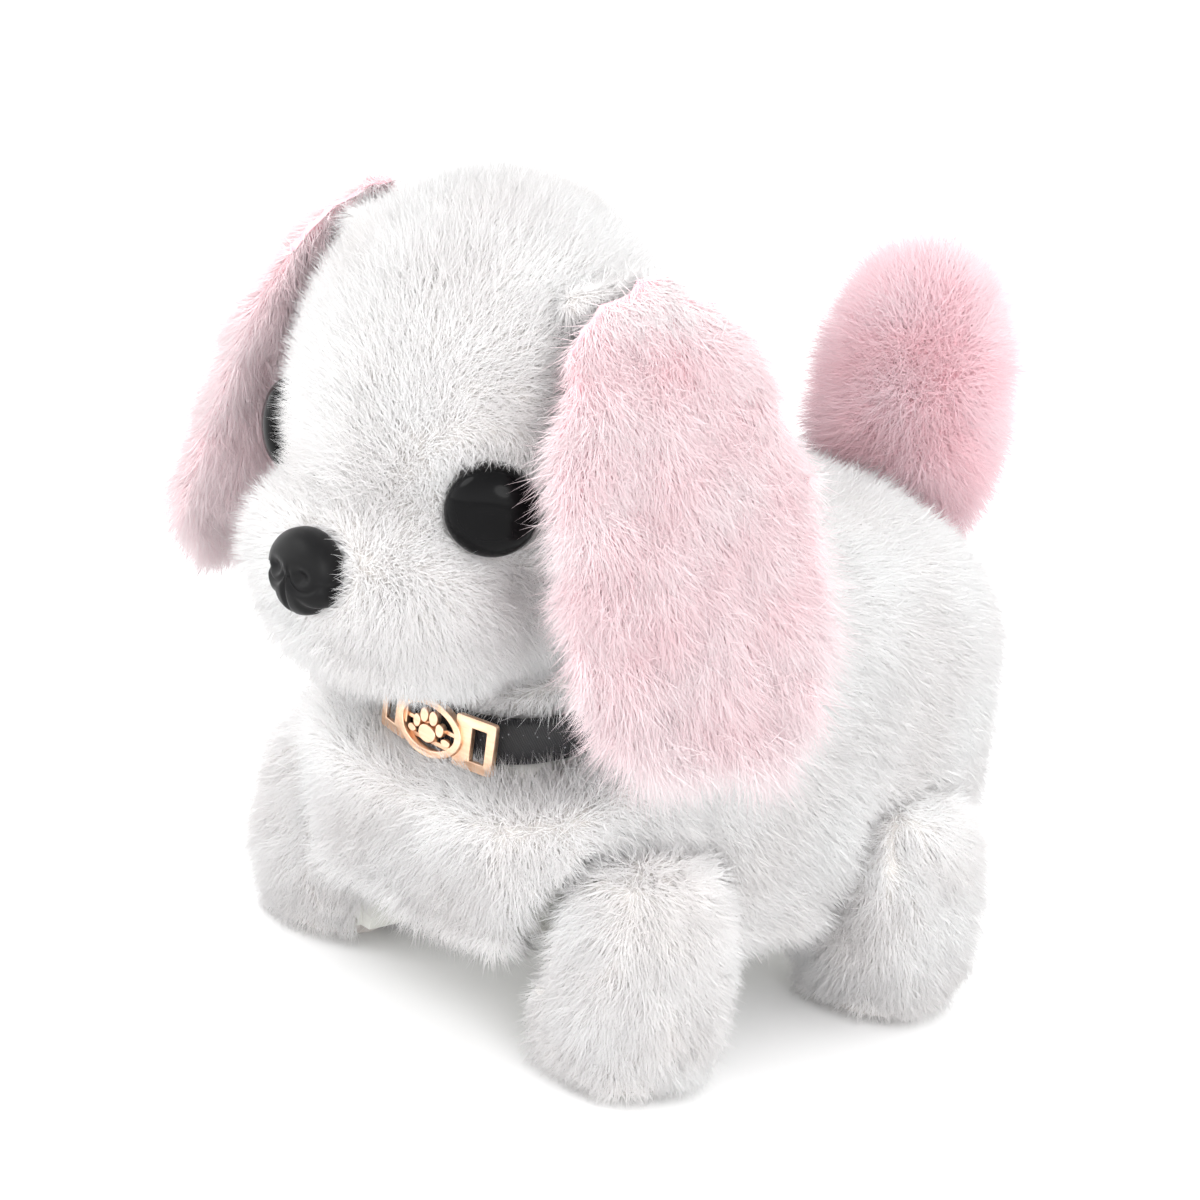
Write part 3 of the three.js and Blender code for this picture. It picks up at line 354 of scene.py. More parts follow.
# ------------------------------------------------------------------ stuffed skins
CHASSIS_LOW, CHASSIS_HIGH = box("chassis_lower")
MECHANISM = (  # the two corners of the room that the gearbox and the leg links take up
    np.array([box("right_leg_link")[0][0] - 2.0, CHASSIS_LOW[1] - 2.2, CHASSIS_LOW[2] + 1.5]),
    np.array([box("left_leg_link")[1][0] + 2.0, CHASSIS_HIGH[1] + 2.2, CHASSIS_HIGH[2] + 22.0]),
)
DENT_REACH = 12.0  # how far a dent spreads from the middle of its face piece
NECK_BAND = (-8.0, 14.0)  # how far below and above the collar its seat reaches
FABRIC_STEPS = 20  # frames that a cloth simulation runs for
FINE_VOXEL = 2.5  # coarser remeshes than this are subdivided once
CRUMB = 0.2  # sheets with a smaller share of the points than this are left over from cutting
OWN_REACH, OWN_OPEN = 34.0, 33.0  # rays to a cover's far wall, and when they count as clear
NEAR_REACH, NEAR_OPEN = 3.0, 1.0  # rays to a neighbour, and when they count as clear


def weld(mesh):
    """Joins points that lie on each other."""
    work = bmesh.new()
    work.from_mesh(mesh)
    bmesh.ops.remove_doubles(work, verts=work.verts, dist=0.00002)
    work.to_mesh(mesh)
    work.free()


def stuffed(thing, pressure, cap):
    """Fills a closed skin with a cloth simulation and keeps each point within cap of its place."""
    start = vertex_array(thing.data)
    cloth = thing.modifiers.new("stuffing", "CLOTH")
    cloth.settings.use_pressure = True
    cloth.settings.uniform_pressure_force = pressure
    cloth.settings.effector_weights.gravity = 0.0
    cloth.settings.quality = 5
    cloth.point_cache.frame_start = 1
    cloth.point_cache.frame_end = FABRIC_STEPS
    for step in range(1, FABRIC_STEPS + 1):
        bpy.context.scene.frame_set(step)
    graph = bpy.context.evaluated_depsgraph_get()
    mesh = bpy.data.meshes.new_from_object(thing.evaluated_get(graph), depsgraph=graph)
    moved = vertex_array(mesh) - start
    far = np.linalg.norm(moved, axis=1, keepdims=True)
    thing.modifiers.clear()
    thing.data = mesh
    bpy.context.scene.frame_set(1)
    put_vertices(mesh, start + moved * np.minimum(1, cap / np.maximum(far, 1e-6)))


def tree_of(meshes):
    """One search tree over several meshes, in millimetres."""
    points, faces, start = [], [], 0
    for mesh in meshes:
        co = vertex_array(mesh)
        points.append(co)
        faces.append(triangle_array(mesh) + start)
        start += len(co)
    return BVHTree.FromPolygons(np.vstack(points).tolist(), np.vstack(faces).tolist())


def clearances(tree, starts, ways, reach):
    """How far each ray goes before it meets the tree, up to reach."""
    found = np.full(len(starts), float(reach))
    cast = tree.ray_cast
    for i, (start, way) in enumerate(zip(starts.tolist(), ways.tolist())):
        distance = cast(start, way, reach)[3]
        if distance is not None:
            found[i] = distance
    return found


def meetings(tree, starts, ways, reaches):
    """How far each ray goes before it meets the tree, and which way the surface there faces."""
    found, facing = np.array(reaches, float), np.zeros((len(starts), 3))
    cast = tree.ray_cast
    for i, (start, way, reach) in enumerate(zip(starts.tolist(), ways.tolist(), found.tolist())):
        _, normal, _, distance = cast(start, way, reach)
        if distance is not None:
            found[i] = distance
            facing[i] = normal
    return found, facing


def others(*nodes):
    """Everything in the frame but these nodes, as a search tree."""
    return tree_of([cad.data for node, cad in NODES.items() if node not in nodes])


def around(cloths, *nodes):
    """What the pile of these nodes lies against: hard pieces, and the cloth of the other soft ones."""
    hard = [cad.data for node, cad in NODES.items() if node not in SOFT and node not in nodes]
    return tree_of(hard + [cloth.data for node, cloth in cloths.items() if node not in nodes])


def round_the_neck(points, normals):
    """Points of the seat and the neck that the collar lies on, on their outer side."""
    low, high = box("collar_strap")
    centre, half = (low + high) / 2, (high - low) / 2
    offset = points - centre
    ring = np.linalg.norm(offset[:, :2] / half[:2], axis=1)
    slope = half[2] / half[1] * 0.8
    height = offset[:, 2] - offset[:, 1] * slope
    away = unit(np.column_stack([offset[:, :2] / half[:2] ** 2, np.zeros(len(points))]))
    facing = (dot(away, normals)[:, 0] > 0.3) | (normals @ unit(np.array([0, -slope, 1.0])) > 0.5)
    return facing & (ring > 0.8) & (ring < 1.3) & (height > NECK_BAND[0]) & (height < NECK_BAND[1])


def in_the_hollow(points, normals):
    """Points of the body cover round the mechanism that face in, towards the chassis' spine."""
    low, high = MECHANISM
    spine = (low + high) / 2 * [1, 0, 1] + np.clip(points[:, 1:2], low[1] + 24, high[1] - 24) * [0, 1, 0]
    outward = dot(unit(points - spine), normals)[:, 0]
    return np.all((points > low) & (points < high), axis=1) & (outward < 0.2)


def under_face_pieces(points, normals):
    """Points of the dents that the nose and the eyes are set in."""
    outward = unit(points - middle("head_skull"))
    near = np.zeros(len(points), bool)
    for node in ("nose", "left_eye", "right_eye"):
        near |= np.linalg.norm(points - middle(node), axis=1) < DENT_REACH
    return near & (dot(outward, normals)[:, 0] > 0.15)


def outer_side(node, mesh):
    """Which points of a cover look out into the open, not into its own hollow or at a neighbour."""
    points, normals = vertex_array(mesh), normal_array(mesh)
    own = clearances(tree_of([mesh]), points + normals * 0.3, normals, OWN_REACH)
    near = clearances(others(node), points, normals, NEAR_REACH)
    outside = (own > OWN_OPEN) & (near > NEAR_OPEN)
    if node == "body_plush_cover":
        outside &= ~in_the_hollow(points, normals)
        outside |= round_the_neck(points, normals)
    if node == "head_plush_cover":
        outside |= under_face_pieces(points, normals)
    return outside


def islands_of(work):
    """The separate sheets of a mesh, each as a list of its points."""
    islands, seen = [], set()
    for start in work.verts:
        if start in seen:
            continue
        group, queue = [], [start]
        seen.add(start)
        while queue:
            vert = queue.pop()
            group.append(vert)
            for edge in vert.link_edges:
                other = edge.other_vert(vert)
                if other not in seen:
                    seen.add(other)
                    queue.append(other)
        islands.append(group)
    return islands


def open_sheet(node, mesh):
    """Cuts a closed cover down to its outer side, without the crumbs that are left over."""
    outside = outer_side(node, mesh)
    work = bmesh.new()
    work.from_mesh(mesh)
    work.verts.ensure_lookup_table()
    hidden = [face for face in work.faces if sum(outside[v.index] for v in face.verts) < 2]
    bmesh.ops.delete(work, geom=hidden, context="FACES")
    islands = islands_of(work)
    largest = max(len(group) for group in islands)
    crumbs = [v for group in islands if len(group) < largest * CRUMB for v in group]
    bmesh.ops.delete(work, geom=crumbs, context="VERTS")
    work.to_mesh(mesh)
    work.free()
    mesh.update()


def set_in(mesh, inset, hollow):
    """Draws a skin in by the depth of its pile, less where it is thin or where it meets the floor."""
    points, normals = vertex_array(mesh), normal_array(mesh)
    if hollow:
        depth = inset * (1 - smoothstep(-0.5, -0.9, normals[:, 2:3]))
    else:
        through = clearances(tree_of([mesh]), points - normals * 0.2, -normals, 20.0)
        depth = np.minimum(inset, 0.4 * through)[:, None]
    put_vertices(mesh, points - normals * depth)


def skin(node, voxel, inset, rounds, pressure=0.0, cap=0.0, hollow=False):
    """The cloth of one soft piece: its solid remeshed, rounded, stuffed and set in by its pile."""
    mesh = NODES[node].data.copy()
    mesh.materials.clear()
    weld(mesh)
    name = node.replace("_plush_cover", "").replace("_plush", "") + "_cloth"
    thing = new_object(name, mesh)
    remesh = thing.modifiers.new("even", "REMESH")
    remesh.mode = "VOXEL"
    remesh.voxel_size = voxel * MM
    mesh = apply_modifiers(thing)
    if hollow:
        open_sheet(node, mesh)
    round_off = thing.modifiers.new("round", "SMOOTH")
    round_off.factor = 0.5
    round_off.iterations = rounds
    mesh = apply_modifiers(thing)
    if pressure:
        stuffed(thing, pressure, cap)
        mesh = thing.data
    if voxel > FINE_VOXEL:
        thing.modifiers.new("finer", "SUBSURF").levels = 1
        mesh = apply_modifiers(thing)
    set_in(mesh, inset, hollow)
    smooth_shaded(mesh)
    mesh.materials.clear()
    mesh.materials.append(FINISH[SLOT_OF[node]])
    return settle(thing, BODY_OF[node], SLOT_OF[node], node)


def thicken(cloth, depth):
    """Gives an open sheet the depth of its backing cloth, inwards."""
    solid = cloth.modifiers.new("depth", "SOLIDIFY")
    solid.thickness = depth * MM
    solid.offset = -1.0
    smooth_shaded(apply_modifiers(cloth))


# ------------------------------------------------------------------ pile
LIFT = 0.2  # rays start this far above the cloth
OPEN_REACH = 12.0  # how far above a root a neighbour is looked for
BURIED = 1.6  # roots with a neighbour nearer than this grow no hair
SHORTEST_HAIR = 1.2
FLOOR_ROOM = 0.3  # no tip comes nearer to the floor
HAIR_MAP_WIDTH = 0.0015  # half the width of a hair on its map


def roots_on(mesh, density, seed):
    """Random places on a mesh, so many to a square millimetre, and which way it faces there."""
    own = np.random.default_rng(seed)
    co, normals, tris = vertex_array(mesh), normal_array(mesh), triangle_array(mesh)
    a, b, c = (co[tris[:, i]] for i in range(3))
    areas = np.linalg.norm(np.cross(b - a, c - a), axis=1) / 2
    count = int(areas.sum() * density)
    pick = np.searchsorted(np.cumsum(areas), own.uniform(0, areas.sum(), count))
    pick = np.minimum(pick, len(tris) - 1)
    s, t = np.sqrt(own.uniform(0, 1, count))[:, None], own.uniform(0, 1, count)[:, None]
    weights = (1 - s, s * (1 - t), s * t)
    points = sum(w * co[tris[pick, i]] for i, w in enumerate(weights))
    ways = unit(sum(w * normals[tris[pick, i]] for i, w in enumerate(weights)))
    return points, ways, own


def clump_pull(points, tips, size, amount, seed):
    """Draws tips towards the middle of their tuft, on a jittered grid of tufts size millimetres apart."""
    own = np.random.default_rng(seed)
    shift = np.stack([waves(points, size * 3, seed + i) for i in range(3)], axis=1) * size * 0.35
    cells = np.floor((points + shift) / size).astype(int)
    low = cells.min(axis=0)
    keys = cells - low
    spans = keys.max(axis=0) + 1
    flat = (keys[:, 0] * spans[1] + keys[:, 1]) * spans[2] + keys[:, 2]
    used, where = np.unique(flat, return_inverse=True)
    where = where.ravel()
    totals = np.stack([np.bincount(where, tips[:, i]) for i in range(3)], axis=1)
    centres = totals / np.bincount(where)[:, None]
    pulls = amount * own.uniform(0.4, 1.2, len(used))[where][:, None]
    return tips + (centres[where] - tips) * np.clip(pulls, 0, 0.9)


def strands(name, roots, tips, width, tint, own):
    """Tapered three-sided hairs, with the tint and the way from root to tip written as a map."""
    count = len(roots)
    along = unit(tips - roots)
    side = unit(np.cross(along, own.normal(size=(count, 3))))
    other = np.cross(along, side)
    corners = []
    for k in range(3):
        angle = k * 2 * math.pi / 3
        corners.append(roots + (side * math.cos(angle) + other * math.sin(angle)) * width[:, None])
    points = np.stack([*corners, tips], axis=1).reshape(-1, 3)
    sides = np.array([[0, 1, 3], [1, 2, 3], [2, 0, 3]])
    tris = (np.arange(count)[:, None, None] * 4 + sides[None]).reshape(-1, 3)
    mesh = mesh_from(name, points, tris)
    spread = np.array([-HAIR_MAP_WIDTH, 0.0, HAIR_MAP_WIDTH, 0.0])
    u = np.clip(tint[:, None] + spread[None], 0.001, 0.999)
    v = np.broadcast_to(np.array([0.0, 0.0, 0.0, 1.0])[None], u.shape)
    uv = np.stack([u, v], axis=2).reshape(-1, 2)[tris.ravel()]
    layer = mesh.uv_layers.new(name="OFBake")
    layer.data.foreach_set("uv", uv.astype(np.float32).ravel())
    return mesh


def laid_over(obstacles, roots, tips, normals):
    """Tips that would run into a neighbour slide along its surface instead."""
    reach = np.linalg.norm(tips - roots, axis=1)
    ways = unit(tips - roots)
    room, facing = meetings(obstacles, roots + normals * LIFT, ways, reach + 0.4)
    hit = np.any(facing != 0, axis=1)
    facing = np.where(dot(facing, ways) > 0, -facing, facing)
    slide = unit(ways - facing * dot(ways, facing))
    kept = np.clip(room - 0.3, 0.0, None)[:, None]
    bent = roots + ways * kept + slide * (reach[:, None] - kept) * 0.75 + facing * 0.35
    return np.where(hit[:, None], bent, tips)


def combed(roots, normals, spec, flow, own, seed):
    """Where each hair's tip lies, and how pale the hair is, before it meets anything."""
    comb, lengths, tint = flow(roots, normals)
    comb = comb - normals * dot(comb, normals)
    stray = own.normal(size=roots.shape)
    stray -= normals * dot(stray, normals)
    ways = unit(normals * spec["stand"] + comb * spec["lie"] + stray * spec["stray"])
    lengths = lengths * own.uniform(0.7, 1.15, len(roots))
    tips = roots + ways * lengths[:, None]
    return clump_pull(roots, tips, spec["tuft"], spec["pull"], seed), tint


def grow(name, cloth, body, slot, material, spec, flow, obstacles, seed, splits=None):
    """Covers a skin with pile that follows a flow and lies over its neighbours."""
    roots, normals, own = roots_on(cloth.data, spec["density"], seed)
    open_above = clearances(obstacles, roots + normals * LIFT, normals, OPEN_REACH)
    chosen = open_above > spec.get("bury", BURIED)
    roots, normals = roots[chosen], normals[chosen]
    tips, tint = combed(roots, normals, spec, flow, own, seed)
    tips = laid_over(obstacles, roots, tips, normals)
    room = clearances(obstacles, roots + normals * LIFT, unit(tips - roots), 16.0)
    reach = np.linalg.norm(tips - roots, axis=1)
    share = np.clip((room - 0.1) / reach, 0.0, 1.0)
    chosen = (share * reach > SHORTEST_HAIR) & (tips[:, 2] > FLOOR_ROOM)
    roots, tips, tint = roots[chosen], tips[chosen], tint[chosen]
    tips = roots + (tips - roots) * share[chosen, None]
    tint = np.clip(tint + own.normal(0, spec.get("mottle", 0.12), len(roots)), 0, 1)
    width = own.uniform(0.75, 1.15, len(roots)) * spec["width"]
    made = []
    groups = [np.ones(len(roots), bool)] if splits is None else splits(roots)
    for number, group in enumerate(groups):
        label = name if len(groups) == 1 else f"{name}_{number + 1}"
        mesh = strands(label, roots[group], tips[group], width[group], tint[group], own)
        mesh.materials.append(material)
        made.append(settle(new_object(label, mesh), body, slot))
    return made


LEGS = ["front_left", "front_right", "rear_left", "rear_right"]
SOFT = ["body_plush_cover", "head_plush_cover", "left_ear", "right_ear", "tail_plush"]
SOFT += [f"{leg}_leg_plush" for leg in LEGS]
NOSE = middle("nose") * [1, 0, 1] + [0, box("nose")[0][1], 0]
EYES = [middle("left_eye"), middle("right_eye")]
TAIL = middle("tail_plush")
DOWN = np.array([0.0, 0.0, -1.0])

white = pile("pile_white", *[srgb(*c) for c in (
    (238, 234, 233), (245, 243, 243), (250, 250, 250), (244, 241, 240))])
pink = pile("pile_pink", *[srgb(*c) for c in (
    (254, 216, 222), (254, 232, 236), (255, 249, 250), (253, 222, 227))])
deep_pink = pile("pile_deep_pink", *[srgb(*c) for c in (
    (254, 206, 214), (254, 222, 229), (255, 243, 246), (253, 214, 221))])


def wander(p, size, seed):
    """A smooth random direction at each point."""
    return np.stack([waves(p, size, seed + i) for i in range(3)], axis=1)


def head_flow(p, n):
    """Away from the nose, down the cheeks, and in over the top of each eye."""
    away = unit(p - NOSE)
    sides = smoothstep(12, 34, np.abs(p[:, :1]))
    low = smoothstep(95, 75, p[:, 2:3])
    comb = unit(away + DOWN * (0.9 * sides + 0.6 * low) + 0.12 * wander(p, 16, 61))
    from_nose = np.linalg.norm(p - NOSE, axis=1)
    from_eye = np.full(len(p), 99.0)
    for eye_middle in EYES:
        offset = eye_middle - p
        far = np.linalg.norm(offset, axis=1)
        from_eye = np.minimum(from_eye, far)
        above = smoothstep(-1.0, 4.0, -offset[:, 2])
        beside = smoothstep(1.0, 5.0, np.abs(p[:, 0]) - abs(eye_middle[0]))
        brow = np.clip(above + beside, 0, 1) * smoothstep(15.0, 10.0, far)
        comb = unit(comb * (1 - brow[:, None]) + unit(offset) * 1.2 * brow[:, None])
    length = 6.8 * (0.5 + 0.5 * smoothstep(7, 18, from_nose)) * (0.8 + 0.2 * smoothstep(8, 18, from_eye))
    length *= 1 + 0.08 * waves(p, 14, 3)
    tint = 0.6 + 0.14 * waves(p, 22, 5)
    return comb, length, tint


def body_flow(p, n):
    """Back and down along the body, straight down the chest."""
    drift = waves(p, 30, 11)[:, None] * [0, 1, 1]
    comb = unit(np.array([0, 0.75, -0.6]) + n * [0.3, 0, 0] + 0.15 * drift)
    chest = smoothstep(-45, -56, p[:, 1:2])
    comb = unit(comb * (1 - chest) + DOWN * chest)
    length = 7.2 * (1 + 0.1 * waves(p, 15, 13))
    # Tint varies at random, and grows paler higher up the body: painted light on top and painted shade low
    # down.
    tint = 0.55 + 0.16 * waves(p, 24, 17) + 0.1 * smoothstep(30, 80, p[:, 2])
    return comb, length, tint


def leg_flow(p, n):
    """Down the leg, shorter towards the sole."""
    comb = unit(DOWN + n * [0.4, 0.4, 0] + 0.2 * wander(p, 12, 23))
    length = 6.8 * (1 + 0.15 * waves(p, 10, 19)) * (0.5 + 0.5 * smoothstep(0, 9, p[:, 2]))
    tint = 0.5 + 0.18 * waves(p, 14, 29)
    return comb, length, tint


def ear_flow(node):
    """Up over the root of an ear, and down and outwards in a fan below it."""
    low, high = box(node)
    side = 1 if middle(node)[0] > 0 else -1

    def flow(p, n):
        drop = (high[2] - p[:, 2]) / (high[2] - low[2])
        across = (p[:, 1] - middle(node)[1]) / ((high[1] - low[1]) / 2)
        top = smoothstep(0.16, 0.0, drop)
        fan = np.stack([0.25 * side * np.ones(len(p)), 0.35 * across * drop, 1.4 * top - 1], axis=1)
        comb = unit(fan + 0.2 * wander(p, 13, 31))
        length = 9.5 * (1 + 0.12 * waves(p, 12, 37)) * (0.8 + 0.25 * drop) * (1 - 0.35 * top)
        edge = np.maximum(np.abs(across), np.abs(2 * drop - 1))
        tint = 0.45 + 0.09 * waves(p, 16, 41)
        tint += 0.4 * smoothstep(0.65, 1.0, edge) + 0.4 * smoothstep(0.2, 0.0, drop)
        return comb, length, tint

    return flow


def tail_flow(p, n):
    """Up and away at the tip of the tail, down and back at its root."""
    low, high = box("tail_plush")
    rise = (p[:, 2] - low[2]) / (high[2] - low[2])
    upward = np.stack([np.zeros(len(p)), np.full(len(p), -0.3), 1.5 * rise - 0.9], axis=1)
    comb = unit(upward + n * 0.2)
    length = 9.5 * (1 + 0.12 * waves(p, 11, 43))
    outward = (p[:, 1] - TAIL[1]) / 16
    tint = 0.25 + 0.12 * waves(p, 14, 47)
    tint += 0.35 * smoothstep(0.5, 1.0, rise) + 0.35 * smoothstep(-0.2, 0.9, outward)
    return comb, length, tint


def bands(axis, count):
    """Splits pile into equal shares along an axis, so that no piece grows too heavy."""
    def split(p):
        order = np.argsort(np.argsort(p[:, axis]))
        return [(order * count // len(p)) == number for number in range(count)]

    return split


DENSITY = 1.0
BACKING = 0.7  # thickness of the cloth that the pile grows from

COVER_VOXEL, COVER_INSET = 1.3, 2.2  # how finely a cover is remeshed, and how deep its pile starts
EAR_VOXEL, TAIL_VOXEL, PAD_INSET = 4.0, 3.0, 3.0
ROUNDS = {"body_plush_cover": 50, "head_plush_cover": 14, **{f"{leg}_leg_plush": 8 for leg in LEGS}}

cloths = {node: skin(node, COVER_VOXEL, COVER_INSET, rounds, hollow=True) for node, rounds in ROUNDS.items()}
for side in ("left", "right"):
    cloths[f"{side}_ear"] = skin(f"{side}_ear", EAR_VOXEL, PAD_INSET, 3, pressure=4.0, cap=3.0)
cloths["tail_plush"] = skin("tail_plush", TAIL_VOXEL, PAD_INSET, 4, pressure=3.0, cap=2.0)


def fur(density, stand, lie, stray, tuft, pull, width, **more):
    """How pile grows: hairs to a square millimetre, their lean, disorder, tufts and girth."""
    return {
        "density": density * DENSITY, "stand": stand, "lie": lie, "stray": stray,
        "tuft": tuft, "pull": pull, "width": width, **more,
    }


FUR = {
    "body": fur(8.0, 0.55, 0.8, 0.35, 5.5, 0.25, 0.1),
    "head": fur(9.0, 0.65, 0.65, 0.35, 4.5, 0.2, 0.09),
    "leg": fur(8.0, 0.6, 0.7, 0.38, 4.5, 0.4, 0.1),
    "ear": fur(9.0, 0.55, 0.85, 0.4, 5.0, 0.22, 0.095, mottle=0.1),
    "tail": fur(11.0, 0.85, 0.4, 0.45, 4.5, 0.15, 0.095, mottle=0.1),
    "seam": fur(9.0, 0.3, 0.95, 0.35, 4.5, 0.2, 0.09, bury=0.6),
}


def cover(name, node, kind, material, flow, seed, splits=None, also=()):
    """The pile of one soft piece."""
    against = around(cloths, node, *also)
    body, slot = BODY_OF[node], SLOT_OF[node]
    grow(name, cloths[node], body, slot, material, FUR[kind], flow, against, seed, splits)


cover("body_pile", "body_plush_cover", "body", white, body_flow, 101, bands(1, 6))
cover("head_pile", "head_plush_cover", "head", white, head_flow, 202, bands(0, 4))
for leg in LEGS:
    cover(f"{leg}_leg_pile", f"{leg}_leg_plush", "leg", white, leg_flow, 300 + LEGS.index(leg))
for side in ("left", "right"):
    node = f"{side}_ear"
    cover(f"{node}_pile", node, "ear", pink, ear_flow(node), 400 + (side == "left"), bands(2, 2))
cover("tail_pile", "tail_plush", "tail", deep_pink, tail_flow, 500, bands(2, 2), ("tail_lever",))

for node in ROUNDS:
    thicken(cloths[node], BACKING)


# ------------------------------------------------------------------ seams between head and ears
JOINTS = {joint["name"]: joint for joint in frame["record"]["behaviour"]["joints"]}


SEAM_HALF = np.array([5.5, 11.0, 3.2])
SEAM_INWARD, SEAM_DROP = 5.0, 3.8  # from the ear's pivot to the middle of the fold


def seam_flow(sign):
    """Outwards and down over the root of the ear."""
    def flow(p, n):
        comb = unit(np.array([0.8 * sign, 0, -0.8]) + 0.3 * wander(p, 9, 71))
        return comb, 6.5 * (1 + 0.1 * waves(p, 8, 77)), 0.6 + 0.1 * waves(p, 12, 79)

    return flow


def ear_seam(side):
    """The padded fold that an ear is sewn to the head with."""
    sign = 1 if side == "left" else -1
    pivot = np.array(JOINTS[f"{side}_ear_flap"]["pos_m"]) / MM
    centre = pivot - [SEAM_INWARD * sign, 0, SEAM_DROP]
    work = bmesh.new()
    bmesh.ops.create_icosphere(work, subdivisions=4, radius=1.0)
    mesh = bpy.data.meshes.new(f"{side}_ear_seam_cloth")
    work.to_mesh(mesh)
    work.free()
    ball = vertex_array(mesh) * MM
    unevenness = 0.3 * ball * waves(ball, 1.2, 73)[:, None]
    put_vertices(mesh, centre + ball * SEAM_HALF + unevenness)
    smooth_shaded(mesh)
    mesh.materials.append(FINISH["white_plush"])
    fold = new_object(f"{side}_ear_seam_cloth", mesh)
    against = tree_of([cloths["head_plush_cover"].data, cloths[f"{side}_ear"].data])
    hairs = grow(
        f"{side}_ear_seam_pile", fold, None, "white_plush", white, FUR["seam"],
        seam_flow(sign), against, 600 + sign,
    )
    for thing in [fold, *hairs]:
        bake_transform(thing)


ear_seam("left")
ear_seam("right")


# ------------------------------------------------------------------ eyes and nose
def spun(name, profile, steps, centre, axis):
    """A turned piece: (radius, height) pairs spun round an axis through a centre."""
    rows = len(profile)
    angles = np.linspace(0, 2 * math.pi, steps, endpoint=False)
    radius, height = np.array(profile).T
    turn = np.array(Vector((0, 0, 1)).rotation_difference(Vector(axis)).to_matrix())
    ring = np.stack([np.cos(angles), np.sin(angles), np.zeros(steps)], axis=1)
    points = np.vstack([ring * r + [0, 0, h] for r, h in zip(radius, height)])
    points = points @ turn.T + centre
    faces = []
    for i in range(rows - 1):
        for j in range(steps):
            k = (j + 1) % steps
            faces.append([i * steps + j, i * steps + k, (i + 1) * steps + k, (i + 1) * steps + j])
    mesh = mesh_from(name, points, faces)
    weld(mesh)
    return mesh


EYE_SINK = 3.6  # how far a dome reaches in behind its rim
EYE_RINGS = 24


def eye(side):
    """A domed safety eye, turned round the line from its washer to its highest point."""
    node = f"{side}_eye"
    points = vertex_array(NODES[node].data)
    washer = middle(f"{node}_washer")
    far = np.linalg.norm(points - washer, axis=1)
    apex = points[far.argmax()]
    axis = unit(apex - washer)
    height = (points - apex) @ axis
    across = np.linalg.norm((points - apex) - height[:, None] * axis, axis=1)
    radius = across.max()
    rise = -height[across > radius - 0.2].max()
    base = apex - axis * rise
    profile = [(0.001, -EYE_SINK), (radius - 0.5, -EYE_SINK), (radius, 0.6 - EYE_SINK), (radius, -0.4)]
    for step in range(1, EYE_RINGS + 1):
        angle = step / EYE_RINGS * math.pi / 2
        profile.append((max(radius * math.cos(angle) ** 0.92, 0.001), rise * math.sin(angle)))
    mesh = spun(node + "_dome", profile, 64, base, axis)
    mesh.materials.append(FINISH["black_gloss_plastic"])
    settle(new_object(node + "_dome", mesh), BODY_OF[node], SLOT_OF[node], node)


eye("left")
eye("right")


NOSE_ROWS, NOSE_STEPS = 70, 110
NOSE_RISE, NOSE_BACK = 4.9, 4.5  # how far the nose stands out from its rim, and reaches in behind it


def bell(x, width):
    return np.exp(-(x / width) ** 2)


def nose_outline(angle):
    """How far the rim stands out: a small lower lobe between two notches, and a notch at each side."""
    bottom = -math.pi / 2
    lobe = bell(angle - bottom, 0.42)
    notches = sum(bell(angle - at, 0.13) for at in (bottom - 0.62, bottom + 0.62))
    side_notches = sum(bell(angle - at, 0.16) for at in (-0.12, -math.pi + 0.12))
    return lobe, notches, side_notches


def nose_dents(x, z):
    """How deep the front is pressed in: two nostrils, a groove round each wing and one between."""
    dent = np.zeros_like(x)
    for side in (1, -1):
        nostril = np.hypot((x - side * 0.40) / 0.24, (z - 0.02) / 0.20)
        dent += 0.30 * bell(nostril, 1.0)
        groove = np.hypot(x - side * 0.44, z - 0.04) - 0.36
        dent += 0.13 * bell(groove, 0.07) * smoothstep(0.35, -0.25, z) * (side * x > 0.05)
    dent += 0.11 * bell(x, 0.06) * smoothstep(0.05, -0.25, z)
    dent += 0.08 * bell(np.hypot(x, z + 0.02), 0.1)
    return dent


def nose():
    """A moulded dog nose: a wide hood over two nostril wings and a small lower lobe."""
    low, high = box("nose")
    down = np.linspace(0, math.pi, NOSE_ROWS)[:, None] * np.ones(NOSE_STEPS)
    turn = np.linspace(0, 2 * math.pi, NOSE_STEPS, endpoint=False) * np.ones((NOSE_ROWS, 1))
    x, z, out = np.sin(down) * np.cos(turn), np.sin(down) * np.sin(turn), np.cos(down)
    lobe, notches, side_notches = nose_outline(np.arctan2(z, x))
    rim = np.sin(down) ** 2
    spread = 1 + 0.04 * lobe - 0.12 * notches * rim - 0.09 * side_notches * rim
    x, z = x * spread, z * spread
    front = np.abs(out) ** 0.8 * np.sign(out) - nose_dents(x, z) * (out > 0)
    depth = np.where(out > 0, NOSE_RISE, NOSE_BACK)
    half_x, half_z = (high[0] - low[0]) / 2 + 0.5, (high[2] - low[2]) / 2 + 0.3
    rim_y, middle_z = low[1] + NOSE_RISE, (low[2] + high[2]) / 2
    points = np.stack([x * half_x, rim_y - front * depth, middle_z + z * half_z], axis=2)
    faces = []
    for i in range(NOSE_ROWS - 1):
        for j in range(NOSE_STEPS):
            k = (j + 1) % NOSE_STEPS
            ring, next_ring = i * NOSE_STEPS, (i + 1) * NOSE_STEPS
            faces.append([ring + j, next_ring + j, next_ring + k, ring + k])
    mesh = mesh_from("nose_moulding", points.reshape(-1, 3), faces)
    weld(mesh)
    mesh.materials.append(FINISH["black_nose_plastic"])
    settle(new_object("nose_moulding", mesh), "head", SLOT_OF["nose"], "nose")


nose()


